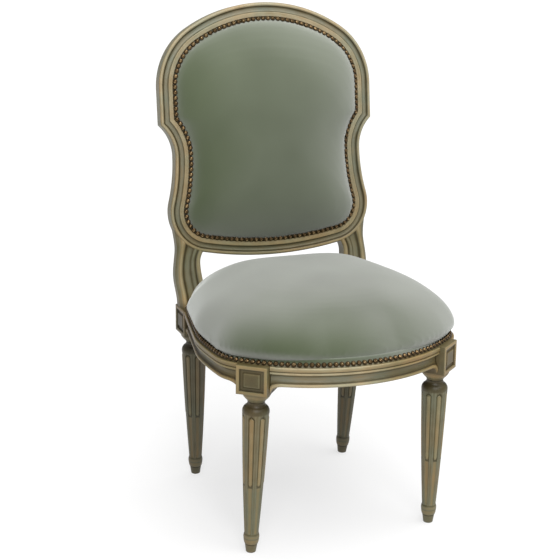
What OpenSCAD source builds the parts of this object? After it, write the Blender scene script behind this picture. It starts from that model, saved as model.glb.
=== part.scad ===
// Upholstered side chair with a waisted, round-topped back on two short posts,
// a domed seat, fluted tapering legs and close-set dome-headed nails.
// X runs across the chair, the front faces -Y, Z is up.

/* [Seat plan] */
// Radius of the bowed front in plan, on the line of nails
front_r = 300; // [292:1:308]
// Radius of the front half of a curved side in plan, on the line of nails
side_r = 800; // [700:10:1000]
// Radius of the bend between a side's front half and its straight hind part
hind_r = 235; // [215:5:255]
// Slant of a side's straight hind part
side_slant = 11; // [10:0.5:12]
// Half of the seat's greatest width, on the line of nails
seat_half_w = 241; // [236:1:246]
// Distance of the widest place in front of the centre of the front curve
widest_y = 80; // [70:1:90]
// Radius that joins the front curve to a side curve
corner_r = 70; // [60:1:80]
// Distance from the front line of nails back to the rear legs
leg_spread = 463; // [450:1:475]

/* [Seat rails] */
// Height of the top of the seat rails above the floor
rail_top = 392; // [370:1:420]
// Height of a seat rail
rail_h = 46; // [44:1:52]
// Wood behind the line of nails
rail_in = 36; // [30:1:40]
// How far the upper band stands out from the line of nails
band_out = 10; // [8:0.5:12]
// Height of the upper band
band_h = 8; // [7:0.5:9]
// Radius of the bead along the bottom edge
low_bead_r = 3.2; // [2.6:0.1:3.6]
// Radius of the thin bead below the upper band
thin_bead_r = 2.4; // [2:0.1:2.8]
// Height of the hollow between the beads
hollow_h = 16; // [12:0.5:17]
// Depth of the hollow
hollow_d = 5; // [3:0.5:6]
// Sloping edge that the nails are driven into, across and down
nail_edge = 8; // [7:0.5:9]
// Length of a tenon
tenon_l = 20; // [15:1:22]
// Thickness of a tenon
tenon_t = 10; // [8:1:12]
// Height of a tenon
tenon_h = 24; // [18:1:28]
// Play around a tenon, a dowel or a screw
play = 0.1; // [0.05:0.05:0.2]

/* [Leg blocks] */
// Width and depth of the square block at the head of a leg
block_w = 61; // [58:1:64]
// How far a front block stands out from the line of nails
block_proud = 19; // [16:1:21]
// Direction of a front block, from straight ahead
block_angle = 40; // [38:0.5:42]
// How far a block reaches below the rails
block_drop = 17.5; // [14:0.5:20]
// Width of the frame around a sunk panel
panel_frame = 6.5; // [5:0.5:8]
// Width of the sunk channel around a panel's field
panel_channel = 7; // [5:0.5:8]
// Depth of the sunk channel
panel_depth = 4; // [3:0.5:5]
// Length of the curved bracket under a rail's end
bracket_l = 20; // [16:1:24]
// How far a rear block stands out from the line of nails
rear_block_proud = 16.5; // [15.5:0.5:18]

/* [Legs] */
// Radius of a leg at its narrowest, below the block
neck_r = 16.2; // [15:0.2:18]
// Radius of the swelling at the top of a leg
bulb_r = 25.7; // [24:0.1:27]
// Radius at the lower end of the taper
ankle_r = 13.1; // [12:0.1:14]
// Radius of the ring above the foot
ring_r = 15.8; // [15:0.1:17]
// Height of the ring
ring_h = 21; // [17:1:24]
// Radius of the foot where it meets the ring
foot_r = 12.2; // [11.2:0.1:12.8]
// Radius of the foot at the floor
toe_r = 9.6; // [8:0.1:10.4]
// Height of the foot
foot_h = 19; // [15:1:24]
// Number of flutes around a leg
flutes = 7; // [6:1:8]
// Distance of the flutes' upper ends below the block
flute_drop = 51; // [48:1:60]
// Radius of a flute at its upper end
flute_r = 5.2; // [4.5:0.1:5.6]
// Depth of a flute at its upper end
flute_d = 3.2; // [2.5:0.1:3.6]
// Length of the rod that fills the upper part of a flute
rod_l = 140; // [110:1:170]
// Direction of one flute of a front leg, in plan
front_flute_turn = -42; // [-60:1:-20]
// Direction of one flute of a rear leg, in plan
rear_flute_turn = 12; // [0:1:25]
// How far the foot of a front leg stands behind its block
front_rake = 12; // [0:1:16]
// How far the foot of a front leg stands out from its block
front_splay = 5; // [0:1:8]
// How far the foot of a rear leg stands behind its block
rear_rake = 20; // [10:1:26]
// How far the foot of a rear leg stands in from its block
rear_toe_in = 9; // [0:1:12]

/* [Back frame] */
// Backward lean of the back
back_tilt = 7.2; // [5:0.1:9]
// Height of the panel's lower edge above the seat rails, up the slope
panel_low = 123; // [116:1:130]
// Height of the panel, on the line of nails
panel_h = 460; // [440:1:480]
// Half of the width across the round top
crest_half_w = 202; // [198:1:206]
// Radius of the top curve
crest_r = 280; // [265:1:300]
// Radius between the top curve and a straight side
crest_corner_r = 110; // [95:1:120]
// Height of the waist above the seat rails
waist_z = 308; // [304:1:312]
// Half of the width at the waist
waist_half_w = 174; // [172:1:178]
// Radius of the hollow curve from the shoulder to the waist
shoulder_r = 120; // [112:1:128]
// Radius of the long curve below the waist
hip_r = 400; // [380:5:430]
// Radius of the lower corners
low_corner_r = 52; // [48:1:56]
// Radius of the bottom curve
bottom_r = 720; // [650:10:800]
// Width of the moulded frame outside the line of nails
frame_out = 34; // [32:0.5:37]
// Width of the frame inside the line of nails
frame_in = 12; // [10:1:15]
// Thickness of the frame
frame_t = 29; // [27:1:31]
// Radius of the outer bead
bead_r = 4; // [3.5:0.1:4.5]
// Width of the hollow
cove_w = 10; // [8:0.5:11]
// Depth of the hollow
cove_d = 3.2; // [2.5:0.1:4]
// Width of the plain inner band
inner_band_w = 9.5; // [8:0.5:10.5]
// Radius of a dowel
dowel_r = 4; // [3:0.5:5]
// Length of a dowel
dowel_l = 36; // [28:1:40]

/* [Posts] */
// Width of a post where its inner edge starts to curve inwards
post_w = 52.6; // [51.4:0.2:54]
// Height of that place above the seat rails
post_neck_z = 83; // [78:1:88]
// Radius of the hollow inner edge
post_inner_r = 38; // [34:1:42]
// How far a post swells past its block
post_swell = 6; // [4:1:8]

/* [Upholstery] */
// Height of the seat's crown above the rails
seat_crown = 118; // [90:1:140]
// Height of the back pad's crown in front of the frame
back_crown = 24; // [16:1:30]
// Thickness of the velvet covers
cover_t = 1.2; // [1:0.1:1.6]
// Thickness of the webbing
strap_t = 1.2; // [1:0.1:1.5]
// Width of the webbing
strap_w = 50; // [40:1:55]
// Thickness of the hessian
hessian_t = 0.8; // [0.6:0.1:1]
// Free space around soft pieces
soft_gap = 0.3; // [0.2:0.05:0.4]

/* [Fasteners] */
// Radius of a nail's head
nail_r = 5.1; // [4.6:0.1:5.3]
// Height of a nail's domed head
nail_h = 3; // [2.4:0.1:3.4]
// Distance from one nail to the next
nail_pitch = 11; // [10.8:0.1:12]
// Radius of a screw's shank
screw_r = 2.2; // [2:0.1:2.6]
// Length of a screw
screw_l = 44; // [38:1:48]
// Thickness of a corner brace
brace_t = 25; // [20:1:28]
// Height of a corner brace
brace_h = 30; // [24:1:34]

/* [Hidden] */
$fn = 64;

// Colours
PAINT = "#8b8d74";
VELVET = "#6d775c";
BRONZE = "#7a6136";
JUTE = "#a48e66";
STUFFING = "#d8cdb4";
BEECH = "#b99b6b";
STEEL = "#8c8f93";
BLACK_CLOTH = "#2b2b2b";

// Small lengths that shape the mouldings
groove = 1;
edge_round = 1.2;
lap = 0.5;
far = 900;

// Points of the plan, with the origin at the centre of the front curve
function dir(a) = [sin(a), -cos(a)];
function len2(v) = sqrt(v[0] * v[0] + v[1] * v[1]);
function angle_of(v) = atan2(v[1], v[0]);

// One crossing of two circles, on the left of the line from the first centre
function circle_meet(c1, r1, c2, r2) =
    let (d = len2(c2 - c1), a = (r1 * r1 - r2 * r2 + d * d) / (2 * d))
    let (h = sqrt(r1 * r1 - a * a), e = (c2 - c1) / d)
    c1 + a * e + h * [-e[1], e[0]];

side_c = [seat_half_w - side_r, -widest_y];
corner_c = circle_meet([0, 0], front_r - corner_r, side_c, side_r - corner_r);
front_end = angle_of(corner_c) + 90;
corner_end = angle_of(corner_c - side_c);
hind_c = [seat_half_w - hind_r, -widest_y];

// Sideways place of a side's straight part, at an offset and a place along the depth
function hind_x(s, y) =
    let (p = hind_c + (hind_r + s) * [cos(side_slant), sin(side_slant)])
    p[0] - (y - p[1]) * tan(side_slant);

// Heights of the seat frame
rail_bottom = rail_top - rail_h;
edge_low = rail_top - nail_edge;
edge_out = nail_edge / 2 + 0.5;
edge_in = edge_out - nail_edge;
block_bottom = rail_bottom - block_drop;
block_top = edge_low + lap;

// Leg positions
front_leg_c = dir(block_angle) * (front_r + block_proud - block_w / 2);
rear_y = leg_spread - front_r;
rear_leg_c = [hind_x(0, rear_y) + rear_block_proud - block_w / 2, rear_y];
rear_face = rear_leg_c[1] + block_w / 2;
rear_nail_y = rear_face - band_out - 2;
block_in_x = rear_leg_c[0] - block_w / 2;
block_front_y = rear_leg_c[1] - block_w / 2;
block_outer_x = rear_leg_c[0] + block_w / 2;

// The back of a post is flush with the back of its block
back_y = rear_face - frame_t / cos(back_tilt) - 0.5;

// Points of the back, in the plane of its face
crest_c = [0, panel_low + panel_h - crest_r];
crest_corner_c = let (x = crest_half_w - crest_corner_r, d = crest_r - crest_corner_r)
    [x, crest_c[1] + sqrt(d * d - x * x)];
crest_end = angle_of(crest_corner_c - crest_c);
shoulder_c = [waist_half_w + shoulder_r, waist_z];
hip_c = [waist_half_w + hip_r, waist_z];
bottom_c = [0, panel_low + bottom_r];
low_corner_c = circle_meet(hip_c, hip_r + low_corner_r, bottom_c, bottom_r - low_corner_r);
hip_end = angle_of(low_corner_c - hip_c) + 360;
bottom_end = angle_of(low_corner_c - bottom_c);
low_corner_start = angle_of(hip_c - low_corner_c);

// The shoulder's crossing of a straight side and the hollow curve, at an offset
function shoulder_at(s) =
    let (x = crest_half_w + s, r = shoulder_r - s, dx = shoulder_c[0] - x)
    [x, shoulder_c[1] + sqrt(r * r - dx * dx)];

// The whole chair is centred on its own depth
rear_round = 3;
depth_front = -(front_r + band_out);
depth_back = back_y + (panel_low + panel_h + frame_out - rear_round) * sin(back_tilt)
    + (frame_t - rear_round) * cos(back_tilt) + rear_round;
shift_y = -(depth_front + depth_back) / 2;

module placed() {
    translate([0, shift_y, 0]) children();
}

module in_back() {
    translate([0, shift_y + back_y, rail_top]) rotate([90 - back_tilt, 0, 0]) children();
}

module both_sides() {
    children();
    mirror([1, 0, 0]) children();
}

// Section of a seat rail: outwards from the line of nails, and up from the floor
hollow_z = rail_bottom + 2 * low_bead_r + groove + hollow_h / 2;
hollow_face = 5;
hollow_r = (hollow_h * hollow_h / 4 + hollow_d * hollow_d) / (2 * hollow_d);
hollow_half = asin(hollow_h / 2 / hollow_r) - 2;
thin_bead_z = hollow_z + hollow_h / 2 + thin_bead_r + groove / 2;
band_low = edge_low + lap - band_h;

module seat_rail_section() {
    difference() {
        union() {
            translate([-rail_in, rail_bottom]) square([rail_in + hollow_face, edge_low - rail_bottom]);
            polygon([
                [-rail_in, rail_top], [-rail_in, edge_low - lap],
                [edge_out, edge_low - lap], [edge_out, edge_low], [edge_in, rail_top]
            ]);
            translate([hollow_face - 1, rail_bottom + low_bead_r]) circle(low_bead_r);
            translate([band_out - 4, thin_bead_z]) circle(thin_bead_r);
            translate([0, band_low + edge_round]) square([band_out, band_h - 2 * edge_round]);
            translate([0, band_low]) square([band_out - edge_round, band_h]);
            for (z = [band_low + edge_round, band_low + band_h - edge_round])
                translate([band_out - edge_round, z]) circle(edge_round);
        }
        translate([hollow_face + hollow_r - hollow_d, hollow_z]) circle(hollow_r);
        translate([hollow_face - 1, rail_bottom - lap]) square([low_bead_r + 2, low_bead_r / 2]);
    }
}

module sweep(c, r, a0, a1) {
    translate([c[0], c[1], 0]) rotate_extrude(start = a0, angle = a1 - a0, $fn = 180)
        translate([r, 0]) children();
}

// Points along an arc, from one angle to another, without the last
function arc_points(c, r, a0, a1, n) =
    [for (k = [0 : n - 1]) c + r * [cos(a0 + (a1 - a0) * k / n), sin(a0 + (a1 - a0) * k / n)]];

function mirrored(points) = [for (k = [len(points) - 1 : -1 : 0]) [-points[k][0], points[k][1]]];

function reversed(list) = [for (k = [len(list) - 1 : -1 : 0]) list[k]];

// A closed skin from a first point, through rings, to a last point
module ringed_solid(first, rings, last) {
    n = len(rings[0]);
    m = len(rings);
    points = concat([first], [for (r = rings, p = r) p], [last]);
    tail = n * m + 1;
    polyhedron(points, concat(
        [for (i = [0 : n - 1]) [0, 1 + (i + 1) % n, 1 + i]],
        [for (k = [0 : m - 2], i = [0 : n - 1], h = [0, 1]) let (a = 1 + k * n, b = a + n, j = (i + 1) % n)
            h == 0 ? [a + i, a + j, b + j] : [a + i, b + j, b + i]],
        [for (i = [0 : n - 1]) [tail - n + i, tail - n + (i + 1) % n, tail]]
    ));
}

// A moulding: each point of its section follows its own line, offset from the nails
module moulding(section, heart, lines, heart_line) {
    m = len(heart_line);
    rings = [for (k = [0 : m - 1])
        [for (i = [0 : len(section) - 1]) concat(lines[i][k], [section[i][1]])]];
    ringed_solid(concat(heart_line[0], [heart[1]]), rings, concat(heart_line[m - 1], [heart[1]]));
}

// Line of a side, at an offset from the nails, from an angle on the front curve
function side_line(s, a_first, n) = concat(
    arc_points([0, 0], front_r + s, a_first, -90 + front_end, n[0]),
    arc_points(corner_c, corner_r + s, -90 + front_end, corner_end, n[1]),
    arc_points(side_c, side_r + s, corner_end, 0, n[2]),
    arc_points(hind_c, hind_r + s, 0, side_slant, n[3]),
    [hind_c + (hind_r + s) * [cos(side_slant), sin(side_slant)]]
);

// A frame of reference at a front block: X along the rail, Y towards the chair's middle
module at_front_block(side = 1) {
    mirror([side > 0 ? 0 : 1, 0, 0]) translate([front_leg_c[0], front_leg_c[1], 0])
        rotate([0, 0, block_angle]) children();
}

module at_rear_block(side = 1) {
    mirror([side > 0 ? 0 : 1, 0, 0]) translate([rear_leg_c[0], rear_leg_c[1], 0]) children();
}

module block_space() {
    translate([-block_w / 2, -block_w / 2, block_bottom]) cube([block_w, block_w, rail_top + far]);
}

// A tenon that enters a block from its +X face, or the mortise that takes it
tenon_low = rail_bottom + 9;

module tenon(extra = 0) {
    translate([block_w / 2 - tenon_l - extra, -tenon_t / 2 - extra, tenon_low - extra])
        cube([tenon_l + lap + 2 * extra, tenon_t + 2 * extra, tenon_h + 2 * extra]);
}

// Curved bracket under a rail, next to the +X face of a block
bracket_r = 16;
bracket_in = 14;
bracket_seat = 5;

module bracket() {
    translate([block_w / 2, 0, 0]) rotate([90, 0, 0])
        translate([0, 0, -bracket_in]) linear_extrude(bracket_in + bracket_face)
            difference() {
                translate([-bracket_seat, block_bottom + 4])
                    square([bracket_l + bracket_seat, block_drop - 4 + lap]);
                translate([bracket_l, rail_bottom - bracket_r]) circle(bracket_r);
            }
}

// Radial reach of a bracket's face from the block's middle line
bracket_face = block_w / 2 - block_proud + hollow_face - 1.5;

module front_rail() {
    color(PAINT) placed() union() {
        difference() {
            union() {
                sweep([0, 0], front_r, -90 - block_angle, -90 + block_angle) seat_rail_section();
                for (s = [-1, 1]) at_front_block(s) mirror([1, 0, 0]) bracket();
            }
            for (s = [-1, 1]) at_front_block(s) block_space();
        }
        for (s = [-1, 1]) at_front_block(s) mirror([1, 0, 0]) tenon();
    }
}

// Section of a side rail as points: outwards from the line of nails, and height
side_rail_points = reversed(concat(
    [[-rail_in, rail_top], [edge_in, rail_top], [edge_out, edge_low + lap - 0.5]],
    [[band_out - edge_round, edge_low + 0.4], [band_out, edge_low + 0.4 - edge_round]],
    [[band_out, band_low + edge_round], [band_out - edge_round, band_low]],
    [[hollow_face, band_low - 0.6]],
    arc_points([band_out - 4, thin_bead_z], thin_bead_r, 60, -90, 4),
    [[band_out - 5, thin_bead_z - thin_bead_r - 0.1]],
    arc_points([hollow_face + hollow_r - hollow_d, hollow_z], hollow_r,
        180 - hollow_half, 180 + hollow_half, 5),
    [[hollow_face, rail_bottom + 2 * low_bead_r + 0.6]],
    arc_points([hollow_face - 1, rail_bottom + low_bead_r], low_bead_r, 80, -90, 5),
    [[0, rail_bottom], [-rail_in, rail_bottom]]
));
side_rail_heart = [-rail_in / 2, rail_bottom + rail_h / 2];
side_steps = [2, 7, 4, 3];
side_tenon_x = 4;

function side_rail_line(s) = concat(
    side_line(s, -90 + block_angle, side_steps), [[hind_x(s, rear_y), rear_y]]);

module side_rail(s) {
    color(PAINT) placed() mirror([s > 0 ? 0 : 1, 0, 0]) union() {
        difference() {
            union() {
                moulding(side_rail_points, side_rail_heart,
                    [for (q = side_rail_points) side_rail_line(q[0])], side_rail_line(side_rail_heart[0]));
                at_front_block() bracket();
                translate([hind_x(0, block_front_y), block_front_y, 0])
                    rotate([0, 0, side_slant - 90]) mirror([0, 1, 0])
                        translate([-block_w / 2, block_w / 2 - block_proud, 0]) bracket();
            }
            at_front_block() block_space();
            at_rear_block() block_space();
        }
        at_front_block() tenon();
        at_rear_block() translate([side_tenon_x, 0, 0]) rotate([0, 0, -90]) tenon();
    }
}

module rear_rail() {
    color(PAINT) placed() union() {
        translate([-block_in_x, rear_nail_y, 0]) rotate([90, 0, 90])
            linear_extrude(2 * block_in_x) seat_rail_section();
        for (s = [-1, 1]) at_rear_block(s) mirror([1, 0, 0]) tenon();
    }
}

// A sunk square panel, cut into the -Y face of a block
module sunk_panel(low, high) {
    w = block_w - 2 * panel_frame;
    h = high - low - 2 * panel_frame;
    field_w = w - 2 * panel_channel;
    field_h = h - 2 * panel_channel;
    bevel = 2;
    difference() {
        translate([-w / 2, -block_w / 2 - lap, low + panel_frame]) cube([w, panel_depth + lap, h]);
        translate([0, -block_w / 2 + panel_depth, (low + high) / 2]) rotate([90, 0, 0])
            intersection() {
                rotate([90, 0, 0]) linear_extrude(h, center = true)
                    raised_outline(field_w, bevel);
                rotate([90, 0, 90]) linear_extrude(w, center = true)
                    raised_outline(field_h, bevel);
            }
    }
}

module raised_outline(w, bevel) {
    d = panel_depth - 1;
    polygon([
        [-w / 2 - bevel, 0], [w / 2 + bevel, 0], [w / 2 + bevel, -lap],
        [-w / 2 - bevel, -lap]
    ]);
    polygon([[-w / 2 - bevel, 0], [w / 2 + bevel, 0], [w / 2, d], [-w / 2, d]]);
}

// The turned part of a leg stands on the floor and reaches up into its block
bulb_round = 13;
neck_z = block_bottom - 19;
bulb_z = neck_z - 20;
cap_r = 26;
cap_round = 14;
taper_drop = 18;

ring_round = 4.6;
toe_round = 1.4;

module leg_outline(h) {
    drop = h - block_bottom;
    translate([0, drop]) difference() {
        translate([0, neck_z - 6]) square([cap_r, block_bottom - neck_z + 6 + lap]);
        translate([neck_r + cap_round, neck_z]) circle(cap_round);
    }
    translate([0, drop + bulb_z]) {
        intersection() {
            translate([bulb_r - bulb_round, 0]) circle(bulb_round);
            square([bulb_r, bulb_round]);
        }
        square([bulb_r - bulb_round, bulb_round]);
    }
    translate([0, drop + neck_z - 10]) square([neck_r, 12]);
    polygon([
        [0, foot_h + ring_h - 8], [ankle_r, foot_h + ring_h - 8], [ankle_r, foot_h + ring_h],
        [bulb_r - 1, drop + bulb_z - taper_drop], [bulb_r, drop + bulb_z], [0, drop + bulb_z]
    ]);
    polygon(concat(
        [[0, foot_h - lap], [ring_r - 2.8, foot_h - lap], [ring_r - 2.8, foot_h]],
        arc_points([ring_r - ring_round, foot_h + ring_h - ring_round], ring_round, -30, 60, 6),
        [[ankle_r - lap, foot_h + ring_h], [0, foot_h + ring_h]]
    ));
    polygon([
        [0, 0], [toe_r, 0], [toe_r + toe_round, toe_round], [foot_r, foot_h - 1],
        [foot_r - 0.6, foot_h - lap], [0, foot_h - lap]
    ]);
}

// Outward growth of a leg's radius along its taper, for a leg of a height
function leg_slope(h) =
    (bulb_r - 1 - ankle_r) / (h - block_bottom + bulb_z - taper_drop - foot_h - ring_h);

// A tapering rod laid along the leg's surface, sunk below it or standing out of it
module along_leg(r_low, r_high, z_low, z_high, sink_low, sink_high, h) {
    slope = leg_slope(h);
    x_low = ankle_r + slope * (z_low - foot_h - ring_h) + sink_low;
    x_high = ankle_r + slope * (z_high - foot_h - ring_h) + sink_high;
    lean = atan2(x_high - x_low, z_high - z_low);
    run = len2([x_high - x_low, z_high - z_low]);
    translate([x_low, 0, z_low]) rotate([0, lean, 0]) cylinder(h = run, r1 = r_low, r2 = r_high);
    translate([x_high, 0, z_high]) sphere(r_high);
    translate([x_low, 0, z_low]) sphere(r_low);
}

// A straight rod along the leg's surface, for the upper part of a flute
module leg_rod(h, low, high, r_low, r_high) {
    slope = leg_slope(h);
    x_low = ankle_r + slope * (low - foot_h - ring_h) - r_low + rod_stand;
    x_high = ankle_r + slope * (high - foot_h - ring_h) - r_high + rod_stand;
    translate([x_low, 0, low]) rotate([0, atan2(x_high - x_low, high - low), 0])
        cylinder(h = high - low, r1 = r_low, r2 = r_high);
}

rod_share = 0.78;
rod_r = flute_r * rod_share;
rod_stand = 0.3;

module turned_leg(h, phase) {
    flute_high = h - flute_drop - flute_r;
    flute_low = foot_h + ring_h + 3;
    narrow = ankle_r / bulb_r;
    rod_high = flute_high - 2;
    rod_low = rod_high - rod_l;
    taper = 1 - (1 - narrow) * rod_l / (flute_high - flute_low);
    difference() {
        rotate_extrude() leg_outline(h);
        for (k = [0 : flutes - 1]) rotate([0, 0, phase + k * 360 / flutes])
            along_leg(flute_r * narrow, flute_r, flute_low, flute_high,
                (flute_r - flute_d) * narrow, flute_r - flute_d, h);
    }
    for (k = [0 : flutes - 1]) rotate([0, 0, phase + k * 360 / flutes])
        leg_rod(h, rod_low, rod_high, rod_r * taper, rod_r);
}

// Everything outside the sloping edge that the nails are driven into
module edge_cut() {
    polygon([
        [edge_in, rail_top], [edge_out - lap, block_top], [far / 10, block_top],
        [far / 10, rail_top + far / 10], [edge_in, rail_top + far / 10]
    ]);
}

module above_edge() {
    sweep([0, 0], front_r, -90, 0) edge_cut();
}

// A turned leg below its block, with its foot moved back and inwards
leg_sunk = 2;

module leaning_leg(back, inward, turn) {
    intersection() {
        translate([0, 0, block_bottom]) rotate([atan2(back, block_bottom), atan2(inward, block_bottom), 0])
            translate([0, 0, -block_bottom - leg_sunk]) turned_leg(block_bottom + leg_sunk, turn);
        translate([-far, -far, 0]) cube([2 * far, 2 * far, block_bottom + lap]);
    }
}

module front_leg(s) {
    color(PAINT) placed() mirror([s > 0 ? 0 : 1, 0, 0]) union() {
        difference() {
            at_front_block() translate([-block_w / 2, -block_w / 2, block_bottom])
                cube([block_w, block_w, rail_top - block_bottom]);
            above_edge();
            at_front_block() {
                tenon(play);
                mirror([1, 0, 0]) tenon(play);
                sunk_panel(block_bottom, block_top);
                brace_screw_pair(play);
            }
        }
        translate([front_leg_c[0], front_leg_c[1], 0])
            leaning_leg(front_rake, -front_splay, front_flute_turn);
    }
}

// A screw through a corner brace into a block, with the +Y side towards the chair's middle
screw_low = rail_bottom + 10;
screw_step = 16;
head_r = 2 * screw_r;
head_h = screw_r;

module brace_screw_pair(extra = 0) {
    for (k = [0, 1]) translate([0, block_w / 2 + brace_t, screw_low + k * screw_step]) rotate([90, 0, 0]) {
        translate([0, 0, -extra]) cylinder(h = screw_l + 2 * extra, r = screw_r + extra);
        if (extra == 0) translate([0, 0, -head_h]) cylinder(h = head_h, r = head_r);
    }
}

module at_brace(front, s) {
    if (front) at_front_block(s) children();
    if (!front) at_rear_block(s) rotate([0, 0, 135]) children();
}

// The space inside the rails, in plan
module inside_plan(off) {
    half = side_line(-off, -90, [7, side_steps[1], side_steps[2], side_steps[3]]);
    end_y = rear_nail_y - off;
    whole = concat(half, [[hind_x(-off, end_y), end_y]]);
    polygon(concat(whole, mirrored([for (k = [1 : len(whole) - 1]) whole[k]])));
}

brace_low = rail_bottom + 3;
brace_half = 75;

module brace(front, s) {
    color(BEECH) placed() difference() {
        intersection() {
            at_brace(front, s) translate([-brace_half, block_w / 2, brace_low])
                cube([2 * brace_half, brace_t, brace_h]);
            linear_extrude(rail_top) inside_plan(rail_in + play);
        }
        if (!front) at_rear_block(s) block_space();
        at_brace(front, s) brace_screw_pair(play);
    }
}

module brace_screws() {
    color(STEEL) placed() for (front = [true, false], s = [-1, 1]) at_brace(front, s) brace_screw_pair();
}

// Rear leg, block and post, cut from one piece of wood
module rear_leg(s) {
    color(PAINT) placed() mirror([s > 0 ? 0 : 1, 0, 0]) union() {
        difference() {
            at_rear_block() translate([-block_w / 2, -block_w / 2, block_bottom])
                cube([block_w, block_w, rail_top - block_bottom]);
            above_straight_edge();
            at_rear_block() {
                translate([side_tenon_x, 0, 0]) rotate([0, 0, -90]) tenon(play);
                mirror([1, 0, 0]) tenon(play);
                rotate([0, 0, 90]) sunk_panel(block_bottom, block_top);
                rotate([0, 0, 135]) brace_screw_pair(play);
            }
        }
        at_rear_block() leaning_leg(rear_rake, rear_toe_in, rear_flute_turn);
        translate([0, back_y, rail_top]) rotate([90 - back_tilt, 0, 0]) post();
    }
}

// The nails' sloping edge runs on over the rear block, up to the post
module above_straight_edge() {
    translate([hind_x(0, back_y), back_y, 0]) rotate([0, 0, side_slant]) rotate([90, 0, 0])
        linear_extrude(block_w) edge_cut();
}

// Edges of a post, across the chair, at a height up the slope
post_low_in = block_in_x + 0.8;
post_sink = 3;
post_inset = 1.5;
post_bulge_h = 118;
function post_outer(w) = block_outer_x - post_inset + post_swell * (0.5 - 0.5 * cos(360 * w / post_bulge_h));
post_neck_in = post_outer(post_neck_z) - post_w;
function post_inner(w) = w < post_neck_z
    ? post_low_in + (post_neck_in - post_low_in) * (0.5 - 0.5 * cos(180 * max(w, 0) / post_neck_z))
    : post_neck_in - pow(w - post_neck_z, 2) / (2 * post_inner_r);
post_top = low_corner_c[1] - low_corner_r + 10;
post_cove_r = 9;
post_steps = 16;

module post_outline() {
    run = post_top + post_sink;
    levels = [for (k = [0 : post_steps]) -post_sink + run * k / post_steps];
    difference() {
        polygon(concat(
            [for (w = levels) [post_outer(w), w]],
            reversed([for (w = levels) [post_inner(w), w]])
        ));
        translate(low_corner_c) circle(low_corner_r + frame_out);
    }
}

module post() {
    groove_x = [post_neck_in + 9, block_outer_x - 9];
    difference() {
        translate([0, 0, -frame_t]) linear_extrude(frame_t) post_outline();
        rotate([back_tilt, 0, 0]) translate([-far, -far - post_sink, -far]) cube([2 * far, far, 2 * far]);
        translate([(groove_x[0] + groove_x[1]) / 2, -far / 2, post_cove_r - cove_d]) rotate([-90, 0, 0])
            cylinder(h = far, r = post_cove_r);
        for (x = groove_x) translate([x, -far / 2, -2]) cube([groove, far, 3]);
        post_dowels(play);
    }
}

// Rebate for the outside back
rear_lap = 4;
rear_sink = 3;

lip_top = -5;
lip_drop = 5;

// Section of the back frame as points: outwards from the nails, with the face at zero
cove_x = frame_out - 2 * bead_r - groove - cove_w / 2;
cove_r = (cove_w * cove_w / 4 + cove_d * cove_d) / (2 * cove_d);
cove_half = asin(cove_w / 2 / cove_r);
cove_face = 1.5;
band_x = cove_x - cove_w / 2 - groove / 2;
nail_seat_x = band_x - inner_band_w;
frame_points = reversed(concat(
    [[-frame_in, 0], [lip_top, 0], [nail_seat_x, -lip_drop], [nail_seat_x, -2.5], [band_x, -0.5]],
    arc_points([cove_x, cove_r - cove_d - cove_face], cove_r, 270 - cove_half, 270 + cove_half, 5),
    [[cove_x + cove_w / 2, -cove_face], [frame_out - 2 * bead_r - 0.6, -3.2]],
    arc_points([frame_out - bead_r, -bead_r], bead_r, 135, 0, 5),
    [[frame_out, -bead_r], [frame_out, -frame_t + rear_round]],
    [[frame_out - 0.3 * rear_round, -frame_t + 0.3 * rear_round], [frame_out - rear_round, -frame_t]],
    [[rear_lap, -frame_t], [rear_lap, -frame_t + rear_sink], [-frame_in, -frame_t + rear_sink]]
));
frame_heart = [frame_out / 2, -0.76 * frame_t];

frame_steps = [3, 12, 8, 7, 8, 6];
stile_low = frame_steps[0];
stile_high = stile_low + frame_steps[1] + frame_steps[2] + frame_steps[3] + 1;
half_steps = stile_high + frame_steps[4] + frame_steps[5];

// Part of the back frame between two steps around the panel, from the bottom's middle
module frame_part(first, last) {
    n = 2 * half_steps;
    section_lines = [for (q = frame_points) let (o = back_outline(q[0], frame_steps))
        [for (k = [first : last]) o[(k + n) % n]]];
    o = back_outline(frame_heart[0], frame_steps);
    moulding(frame_points, frame_heart, section_lines, [for (k = [first : last]) o[(k + n) % n]]);
}

module crest_rail() {
    color(PAINT) in_back() difference() {
        frame_part(stile_high, 2 * half_steps - stile_high);
        both_sides() crest_dowels(play);
    }
}

module back_stile(s) {
    color(PAINT) in_back() mirror([s > 0 ? 0 : 1, 0, 0]) difference() {
        frame_part(stile_low, stile_high);
        crest_dowels(play);
        bottom_dowels(play);
        post_dowels(play);
    }
}

module back_bottom_rail() {
    color(PAINT) in_back() difference() {
        frame_part(-stile_low, stile_low);
        both_sides() bottom_dowels(play);
    }
}

// Dowels of the back frame, in pairs
dowel_depth = frame_t * 0.6;
dowel_places = [0, 20];

module dowel(extra) {
    translate([0, 0, -dowel_l / 2 - extra]) cylinder(h = dowel_l + 2 * extra, r = dowel_r + extra);
}

module crest_dowels(extra = 0) {
    for (x = dowel_places) translate([crest_half_w + x, crest_corner_c[1], -dowel_depth])
        rotate([90, 0, 0]) dowel(extra);
}

module bottom_dowels(extra = 0) {
    for (x = dowel_places) translate(bottom_c) rotate([0, 0, bottom_end])
        translate([bottom_r + x, 0, -dowel_depth]) rotate([90, 0, 0]) dowel(extra);
}

module post_dowels(extra = 0) {
    for (x = [-8, 10]) translate([low_corner_c[0] + low_corner_r + x, post_dowel_z, -dowel_depth])
        rotate([90, 0, 0]) dowel(extra);
}

post_dowel_z = low_corner_c[1] - (low_corner_r + frame_out) * 0.72;

module frame_dowels() {
    color(BEECH) in_back() both_sides() {
        crest_dowels();
        bottom_dowels();
        post_dowels();
    }
}

// Webbing, hessian and the cloth beneath the seat
strap_edge = -edge_in + 4;
strap_step = strap_w + 28;
first_strap_y = -0.82 * front_r;

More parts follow.
